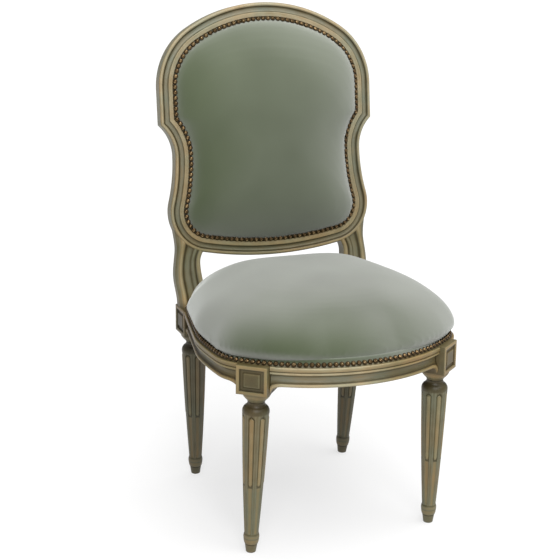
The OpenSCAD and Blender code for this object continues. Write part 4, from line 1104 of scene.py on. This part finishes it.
def pad_mesh(name, loop, centre, skirt, heights, place, profile, bulge=0.0, spread=9.0):
    """A closed pad. Its rings are c + f (l - c), where the line l goes from the
    softened loop to the loop itself as f goes from 0.7 to 1. Each stands at height
    base + (top - base) h, where h is the crown's share, and is pushed outwards by up
    to bulge: the push rises until h = 0.13 and fades from 0.2 to 0.8. The skirt and a
    flat underside close it."""
    soft = softened(loop, spread)
    ahead = np.roll(loop, -1, 0) - np.roll(loop, 1, 0)
    out = np.column_stack([ahead[:, 1], -ahead[:, 0]]) / np.linalg.norm(ahead, axis=1)[:, None]
    out *= np.sign(np.einsum("ij,ij->", out, loop - centre))
    f = np.sin(np.linspace(0.02, 1, PAD_RINGS) * np.pi / 2)[:, None, None]
    t = np.clip((f - FADE_FROM) / (1 - FADE_FROM), 0, 1)
    line = soft + (loop - soft) * (t * t * (3 - 2 * t))
    share = crown(f, *profile)
    rise = np.sin(np.pi / 2 * np.clip(share / BULGE_FULL, 0, 1))
    fall = np.cos(np.pi / 2 * np.clip((share - BULGE_FALL) / (BULGE_GONE - BULGE_FALL), 0, 1))
    push = np.asarray(bulge).reshape(1, -1, 1) * rise * fall
    flat = centre + f * (line - centre) + out * push
    base, top = heights
    height = np.broadcast_to(base + (top - base) * share, (PAD_RINGS, len(loop), 1))
    low_line, low_z = skirt[-1]
    lower = [at_height(p, z) for p, z in skirt]
    lower += [at_height(centre + k * (low_line - centre), low_z) for k in (0.9, 0.6, 0.3)]
    rings = place(np.concatenate([np.concatenate([flat, height], 2), np.array(lower)]))
    return add_mesh(name, *closed_skin(rings), creased=False)


# %% [markdown]
# Real stuffing presses the velvet outwards until it is tight. A cloth simulation
# does the same: the pad's skin is remeshed evenly, its nailed hem is held, and the
# air inside pushes for 20 frames. Raw, that gives loose wrinkles, which a tight seat
# doesn't have. So the movement is averaged along the skin, which keeps the swell and
# drops the wrinkles, and no point may move far, so that the pad keeps its size.

# %% Inflating a pad
FRAMES, ROUNDS, PRESSURE = 20, 60, 4.0


def mesh_points(mesh):
    """A mesh's points as an array (n, 3)."""
    co = np.empty(len(mesh.vertices) * 3)
    mesh.vertices.foreach_get("co", co)
    return co.reshape(-1, 3)


def baked_mesh(piece):
    """What the piece's modifiers give now, as a mesh of its own."""
    graph = bpy.context.evaluated_depsgraph_get()
    return bpy.data.meshes.new_from_object(piece.evaluated_get(graph))


def take_mesh(piece):
    """Makes what the piece's modifiers give its own mesh, and drops them."""
    mesh = baked_mesh(piece)
    piece.modifiers.clear()
    piece.data = mesh
    mesh.polygons.foreach_set("use_smooth", np.ones(len(mesh.polygons), bool))


def averaged(mesh, values):
    """Each round, a point's value becomes the mean of itself and its neighbours' mean."""
    ends = np.empty(len(mesh.edges) * 2, np.int32)
    mesh.edges.foreach_get("vertices", ends)
    a, b = ends.reshape(-1, 2).T
    near, source, size = np.concatenate([a, b]), np.concatenate([b, a]), len(values)
    share = np.maximum(np.bincount(near, minlength=size), 1)[:, None]
    for _ in range(ROUNDS):
        sums = [np.bincount(near, values[source, k], size) for k in range(3)]
        values = 0.5 * values + 0.5 * np.column_stack(sums) / share
    return values


def blown_up(piece, held):
    """How far each point moves while the air inside pushes and held ones stay."""
    start = mesh_points(piece.data)
    piece.vertex_groups.new(name="hem").add(held.tolist(), 1.0, "REPLACE")
    cloth = piece.modifiers.new("velvet", "CLOTH")
    cloth.settings.vertex_group_mass = "hem"
    cloth.settings.quality = 5
    cloth.settings.mass = 0.3
    cloth.settings.tension_stiffness = cloth.settings.compression_stiffness = 15
    cloth.settings.bending_stiffness = 2.0
    cloth.settings.use_pressure = True
    cloth.settings.uniform_pressure_force = PRESSURE
    cloth.settings.effector_weights.gravity = 0
    cloth.collision_settings.use_collision = False
    for step in range(1, FRAMES + 1):
        scene.frame_set(step)
    moved = mesh_points(baked_mesh(piece)) - start
    scene.frame_set(1)
    piece.modifiers.clear()
    piece.vertex_groups.clear()
    return moved


def inflate(piece, hem, cap, voxel):
    """Blows the pad up, holding the points for which hem(points in mm) is true. A
    point that would move by d moves by cap * tanh(d / cap)."""
    even = piece.modifiers.new("even", "REMESH")
    even.mode, even.voxel_size = "VOXEL", voxel
    smooth = piece.modifiers.new("smooth", "SMOOTH")
    smooth.factor, smooth.iterations = 0.5, 3
    take_mesh(piece)
    start = mesh_points(piece.data)
    held = np.flatnonzero(hem((start - [0, SHIFT / 1000, 0]) * 1000))
    moved = averaged(piece.data, blown_up(piece, held))
    far = np.maximum(np.linalg.norm(moved, axis=1), 1e-9)[:, None]
    swollen = start + moved * cap * np.tanh(far / cap) / far
    piece.data.vertices.foreach_set("co", swollen.ravel())
    finer = piece.modifiers.new("finer", "SUBSURF")
    finer.levels = finer.render_levels = 1
    take_mesh(piece)
    print(piece.name, "inflated:", len(start), "points,", round(float(far.max()) * 1000, 1), "mm asked")


# %% [markdown]
# The seat swells most at its sides and front corners, and not at all beside the
# posts. Remeshing rounds off anything thinner than its voxels, so the flat edge that
# the nails hold down is a band of its own, joined to the pad afterwards.

# %% Seat pad
SEAT_C = np.array([0.0, -40.0])
SEAT_BASE, SEAT_CROWN, SEAT_PROFILE = RAIL_TOP + 2.5, RAIL_TOP + 114.0, (3.2, 0.53)
FRONT_BULGE, SIDE_BULGE = 4.0, 14.0
POST_CLEAR_Y, POST_FADE, SIDE_FROM, SIDE_FADE = 135, 60, 70, 110
HEM_HELD, SEAT_CAP, SEAT_VOXEL = RAIL_TOP + 7, 0.006, 0.006
HEM = [(-12, 1.5), (-12, 7.5), (-3.6, 7.5), (-2.1, 3.6), (-1.6, 1.0), (1.0, -1.9), (1.0, -2.6), (-3.0, 1.0)]


def add_hem(piece):
    """Joins the flat nailed edge of the velvet to the pad. Each (offset from the
    nails, height over the rails) of the hem becomes one closed line round the seat."""
    rings = np.array([at_height(even_loop(seat_loop(s)), RAIL_TOP + z) for s, z in HEM])
    points = rings.reshape(-1, 3)
    faces = [ring_quads(len(HEM) + 1, PAD_POINTS) % len(points)]
    hem = add_mesh("hem", points, outward(points, faces), creased=False)
    both = bmesh.new()
    for mesh in (piece.data, hem.data):
        both.from_mesh(mesh)
    both.to_mesh(piece.data)
    both.free()
    bpy.data.objects.remove(hem)


edge_line, hem_line, under_line = (even_loop(seat_loop(s)) for s in (-2.4, 1.8, -6.0))
skirt = [(hem_line, RAIL_TOP - 1.6), (hem_line, RAIL_TOP - 2.2), (under_line, RAIL_TOP + 2.6)]
clear_of_posts = np.clip((POST_CLEAR_Y - edge_line[:, 1]) / POST_FADE, 0, 1)
beside = np.clip((np.abs(edge_line[:, 0]) - SIDE_FROM) / SIDE_FADE, 0, 1)
bulge = (FRONT_BULGE + SIDE_BULGE * beside) * clear_of_posts
heights = (SEAT_BASE, SEAT_CROWN)
seat = pad_mesh("seat_pad", edge_line, SEAT_C, skirt, heights, lambda grid: grid, SEAT_PROFILE, bulge)
inflate(seat, lambda p: p[:, 2] < HEM_HELD, SEAT_CAP, SEAT_VOXEL)
add_hem(seat)
finish_piece(seat, velvet, "velvet", "seat_cover", "seat_stuffing")
print("seat pad:", len(seat.data.polygons), "faces")

# %% [markdown]
# The back has the same kind of pad, but a flatter one: it rises quickly beside the
# nails and then only domes. It is made in the back's own plane, and leaned with it.

# %% Back pad
BACK_C = np.array([0.0, PANEL_LOW + PANEL_H / 2])
BACK_HEIGHTS, BACK_PROFILE, BACK_SPREAD = (1.4, 28.0), (8.0, 0.7, 0.39), 14.0
BACK_HELD, BACK_CAP, BACK_VOXEL = 3.0, 0.004, 0.005


def above_face(p):
    """Height of points over the back frame's face: the part of p - p0 along its
    normal (-cos a, sin a) in y and z."""
    a = math.radians(TILT)
    return -(p[:, 1] - BACK_Y) * math.cos(a) + (p[:, 2] - RAIL_TOP) * math.sin(a)


back_edge, back_hem = even_loop(back_loop(-3.6)[0]), even_loop(back_loop(2.4)[0])
skirt = [(back_hem, -1.9), (back_hem, -2.4), (back_edge, -5.0)]
back_pad = pad_mesh(
    "back_pad", back_edge, BACK_C, skirt, BACK_HEIGHTS, to_back, BACK_PROFILE, spread=BACK_SPREAD
)
inflate(back_pad, lambda p: above_face(p) < BACK_HELD, BACK_CAP, BACK_VOXEL)
finish_piece(back_pad, velvet, "velvet", "back_cover", "back_stuffing")
print("back pad:", len(back_pad.data.polygons), "faces")

# %% [markdown]
# The outside of the back is the same velvet, stretched flat in a shallow rebate and
# edged with the same nails. It hardly swells, so no simulation is needed: rings drawn
# toward the middle, with less than a millimetre of rise, are enough.

# %% Outside back
OUTSIDE_T, OUTSIDE_SWELL, REBATE_T = -28.0, 0.8, -27.0
out_edge, out_in = even_loop(back_loop(3.6)[0]), even_loop(back_loop(-12.0)[0])
sheet = []
for k in np.linspace(0.02, 1, 26):
    swell = OUTSIDE_SWELL * crown(k, *SEAT_PROFILE)
    sheet.append(at_height(BACK_C + k * (out_edge - BACK_C), OUTSIDE_T - swell))
lines = [(out_edge, -27.8), (out_edge, -27.2), (out_in, REBATE_T)]
lines += [(BACK_C + k * (out_in - BACK_C), REBATE_T) for k in (0.6, 0.2)]
rings = to_back(np.array(sheet + [at_height(p, z) for p, z in lines]))
outside = add_mesh("outside_back", *closed_skin(rings), creased=False)
finish_piece(outside, velvet, "velvet", "outside_back_cover")
print("outside back:", len(outside.data.polygons), "faces")

# %% [markdown]
# The nails have low domed heads of aged bronze: bright on the crown, partly rubbed
# metal and partly a painted glint, and dark brown round the rim. Each head is a small
# spun dome, and one mesh holds a whole row, made by copying the dome's points to every
# place at once. Each nail's run holds a chance number of its own, so that the nails
# differ a little in colour.

# %% Bronze
def bronze_material():
    """Colour = ramp(tone + noise + the nail's own number)."""
    m, tree, shader = new_material("aged_bronze")
    spots = noise_of(tree, place_of(tree), 700, 3)
    mix = maths(tree, "ADD", attribute_of(tree, "tone", "Fac"), around(tree, spots, 0.5, 0.5))
    mix = maths(tree, "ADD", mix, around(tree, attribute_of(tree, "run", "Fac"), 0.6, 0.2))
    # The ramp's bright end is rubbed bronze and a painted glint on the crown.
    colour = ramp_of(tree, mix, [(0.0, "211a10"), (0.5, "45351f"), (0.85, "6f5838"), (1.0, "b39b71")])
    tree.links.new(colour, shader.inputs["Base Color"])
    set_sockets(shader, {"Metallic": 0.75, "Roughness": 0.26})
    return m


bronze = bronze_material()
print("bronze made")

# %% A row of nails
NAIL_R, NAIL_H, NAIL_PITCH, NAIL_STAND = 5.1, 3.0, 11.0, 2.0
NAIL_SIDES, NAIL_RINGS, NAIL_SEED = 10, 5, 7
ASKEW = np.array([0.31, 0.2, 0.93])


def nail_shape():
    """A dome r = R sin a, z = H cos a in rings, with a point on top and below."""
    a = np.radians(np.linspace(0, 90, NAIL_RINGS + 1)[1:])
    d = direction(np.linspace(0, 360, NAIL_SIDES, endpoint=False))
    dome = np.concatenate([at_height(NAIL_R * np.sin(t) * d, NAIL_H * np.cos(t)) for t in a])
    points = np.concatenate([dome, [[0, 0, NAIL_H], [0, 0, 0]]])
    size = len(dome)
    first, last = np.arange(NAIL_SIDES), np.arange(size - NAIL_SIDES, size)
    fans = [fan_faces(first, size, False), fan_faces(last, size + 1, True)]
    faces = outward(points, [ring_quads(NAIL_RINGS, NAIL_SIDES), *fans])
    # Tone from crown to rim: the bright crown is partly a painted glint.
    tone = np.concatenate([np.repeat(np.linspace(0.95, 0.05, NAIL_RINGS), NAIL_SIDES), [1.0, 0.0]])
    return points, faces, tone


def nail_row(name, spots, normals, node, place=lambda p: p):
    """Copies the nail to spots (k, 3), with its axis along normals (k, 3)."""
    points, faces, tone = nail_shape()
    k, size = len(spots), len(points)
    z = normals / np.linalg.norm(normals, axis=1)[:, None]
    x = np.cross(ASKEW, z)
    x /= np.linalg.norm(x, axis=1)[:, None]
    basis = np.stack([x, np.cross(z, x), z], 1)
    all_points = place(spots[:, None] + np.einsum("pa,kab->kpb", points, basis))
    offset = (np.arange(k) * size)[:, None, None]
    all_faces = [(f[None] + offset).reshape(-1, f.shape[1]) for f in faces]
    chance = np.repeat(np.random.default_rng(NAIL_SEED).random(k), size * 3)
    row = add_mesh(name, all_points, all_faces, np.tile(tone, k), chance, creased=False)
    print(name, k)
    return finish_piece(row, bronze, "nail", node)


def nail_spots(line, closed=False):
    """Evenly spaced places on a line, with the line's direction at each."""
    pts = np.concatenate([line, line[:1]]) if closed else line
    at = path_length(pts)
    n = max(1, round(at[-1] / NAIL_PITCH))
    want = (np.arange(n) + 0.5) * at[-1] / n
    spot = spots_on(pts, at, want)
    d = spots_on(pts, at, want + 0.5) - spot
    return spot, d / np.linalg.norm(d, axis=1)[:, None]


# %% [markdown]
# The seat's nails sit on the rails' sloping edge and face outwards as much as up.
# One row runs round the front from post to post, and one between the posts behind.

# %% Seat nails
NAIL_LIFT = NAIL_STAND / math.sqrt(2)
nail_s, nail_z = 0.5 + NAIL_LIFT, RAIL_TOP - 4 + NAIL_LIFT
half_line = side_chain(nail_s, -90, SEAT_STEPS, BACK_Y - 2 * NAIL_R)[0]
front_spot, d = nail_spots(np.concatenate([half_line[::-1][:-1], half_line * np.array([-1, 1])]))
rear_line = np.column_stack([np.linspace(rear_in, -rear_in, 20), np.full(20, REAR_NAIL_Y + nail_s)])
rear_spot, _ = nail_spots(rear_line)
spot = np.concatenate([front_spot, rear_spot])
beside_line = np.stack([-d[:, 1], d[:, 0]], -1)
out = np.concatenate([beside_line, np.tile([[0.0, 1.0]], (len(rear_spot), 1))])
out = out * np.sign(np.einsum("ij,ij->i", out, spot - SEAT_C))[:, None]
nail_row("seat_nails_visual", at_height(spot, nail_z), at_height(out, 1.0), "seat_nails")

# %% [markdown]
# Round the back, the front nails sit on the frame's inner slope and face outwards a
# little. The outside ones lie flat and face the rear.

# %% Back nails
LIP = math.atan2(5, 10)
LIP_T, OUTSIDE_NAIL_S, OUTSIDE_NAIL_T = -2.5, -2.1, 0.4 - FRAME_T


def back_nail_row(name, s, t, slope, node, facing):
    """Nails on a line round the panel at offset s and height t over the face."""
    spot, d = nail_spots(back_loop(s)[0], closed=True)
    out = np.stack([d[:, 1], -d[:, 0]], -1) * math.sin(slope)
    normals = at_height(out, math.cos(slope) * facing)
    return nail_row(name, at_height(spot, t), normals, node, place=to_back)


lip_s, lip_t = NAIL_STAND * math.sin(LIP), LIP_T + NAIL_STAND * math.cos(LIP)
back_nail_row("back_nails_visual", lip_s, lip_t, LIP, "back_nails", 1)
back_nail_row("outside_nails_visual", OUTSIDE_NAIL_S, OUTSIDE_NAIL_T, 0.0, "outside_back_nails", -1)

# %% [markdown]
# The hidden parts keep their construction shapes. They still get real finishes:
# woven jute, bare beech, steel and thin black lining, in case the chair is seen from
# below or taken apart. Two crossed waves are enough for a weave at this size.

# %% Finishes of the hidden parts
def woven_material(name, dark, light, pitch, rough):
    """Colour = ramp(wave in x * wave in y + noise)."""
    m, tree, shader = new_material(name)
    place = place_of(tree)
    waves = []
    for axis in ("X", "Y"):
        wave = add_node(tree, "ShaderNodeTexWave", bands_direction=axis, Scale=1 / pitch, Distortion=0.6)
        tree.links.new(place, wave.inputs["Vector"])
        waves.append(wave.outputs["Fac"])
    weave = maths(tree, "MULTIPLY", *waves)
    uneven = maths(tree, "ADD", weave, noise_of(tree, place, 90, 3))
    tree.links.new(ramp_of(tree, uneven, [(0.3, dark), (1.0, light)]), shader.inputs["Base Color"])
    shader.inputs["Roughness"].default_value = rough
    bump_of(tree, weave, shader, 0.4, 0.0005)
    return m


def grained_material(name, noise, stops, sockets, bump=None):
    """Colour = ramp(noise), for bare wood and plain metal."""
    m, tree, shader = new_material(name)
    grain = noise_of(tree, place_of(tree), *noise)
    tree.links.new(ramp_of(tree, grain, stops), shader.inputs["Base Color"])
    set_sockets(shader, sockets)
    if bump:
        bump_of(tree, grain, shader, *bump)
    return m


beech_stops, steel_stops = [(0.3, "9c7848"), (0.7, "c29c66")], [(0.3, "6c6e70"), (0.7, "a2a4a6")]
jute = woven_material("jute", "6d5a38", "b39b6d", 0.004, 0.9)
lining = woven_material("black_lining", "0c0c0c", "26262a", 0.0012, 0.85)
beech = grained_material("bare_beech", (60, 5, (0.2, 1, 4)), beech_stops, {"Roughness": 0.6}, (0.2, 0.0004))
steel = grained_material("plain_steel", (200, 3), steel_stops, {"Metallic": 1.0, "Roughness": 0.38})

# %% Hidden parts
LAYERS = ("webbing_across", "webbing_along", "hessian")
HIDDEN = (
    (jute, [f"{part}_{layer}" for part in ("seat", "back") for layer in LAYERS]),
    (lining, ["dust_cover"]),
    (beech, [f"brace_{end}_{side}" for end in ("front", "rear") for side in ("left", "right")]),
    (beech, ["frame_dowels"]),
    (steel, ["brace_screws"]),
)
for material, nodes in HIDDEN:
    for node in nodes:
        dress(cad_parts[node], material)
print("construction parts with a finish:", sum(len(nodes) for _, nodes in HIDDEN))

# %% [markdown]
# The studio is plain: a pale floor that runs on to a white world. It glows a little,
# so that the shadows on it stay light. The key lamp stands in front and slightly to
# the left, a strong and very soft one hangs above, and a faint one fills from the
# right. The floor is only a stage.

# %% Floor and lights
FLOOR_M, WHITE = 200.0, (1, 1, 1, 1)
scene.view_settings.view_transform = "Standard"
floor = bpy.data.objects.new("floor", bpy.data.meshes.new("floor"))
corners = [(x * FLOOR_M, y * FLOOR_M, 0) for x, y in ((-1, -1), (1, -1), (1, 1), (-1, 1))]
floor.data.from_pydata(corners, [], [(0, 1, 2, 3)])
scene.collection.objects.link(floor)
floor_paint, _, floor_shader = new_material("studio_floor")
set_sockets(floor_shader, {
    "Base Color": (0.3, 0.3, 0.3, 1), "Roughness": 0.9, "Emission Color": WHITE, "Emission Strength": 0.65,
})
floor.data.materials.append(floor_paint)

world = bpy.data.worlds.new("studio")
scene.world = world
world.use_nodes = True
set_sockets(world.node_tree.nodes["Background"], {"Color": WHITE, "Strength": 0.38})


def soft_light(name, towards, spread, strength):
    """A distant lamp as wide as spread degrees, which shines from a direction."""
    data = bpy.data.lights.new(name, "SUN")
    data.angle, data.energy = math.radians(spread), strength
    lamp = bpy.data.objects.new(name, data)
    lamp.rotation_euler = Vector(towards).to_track_quat("Z", "Y").to_euler()
    scene.collection.objects.link(lamp)


soft_light("key", (-0.5, -1.8, 1.7), 28, 1.55)
soft_light("top", (0.2, -0.2, 1), 50, 2.4)
soft_light("fill", (1.4, -1.6, 0.9), 40, 0.12)
print("lights:", len(bpy.data.lights))
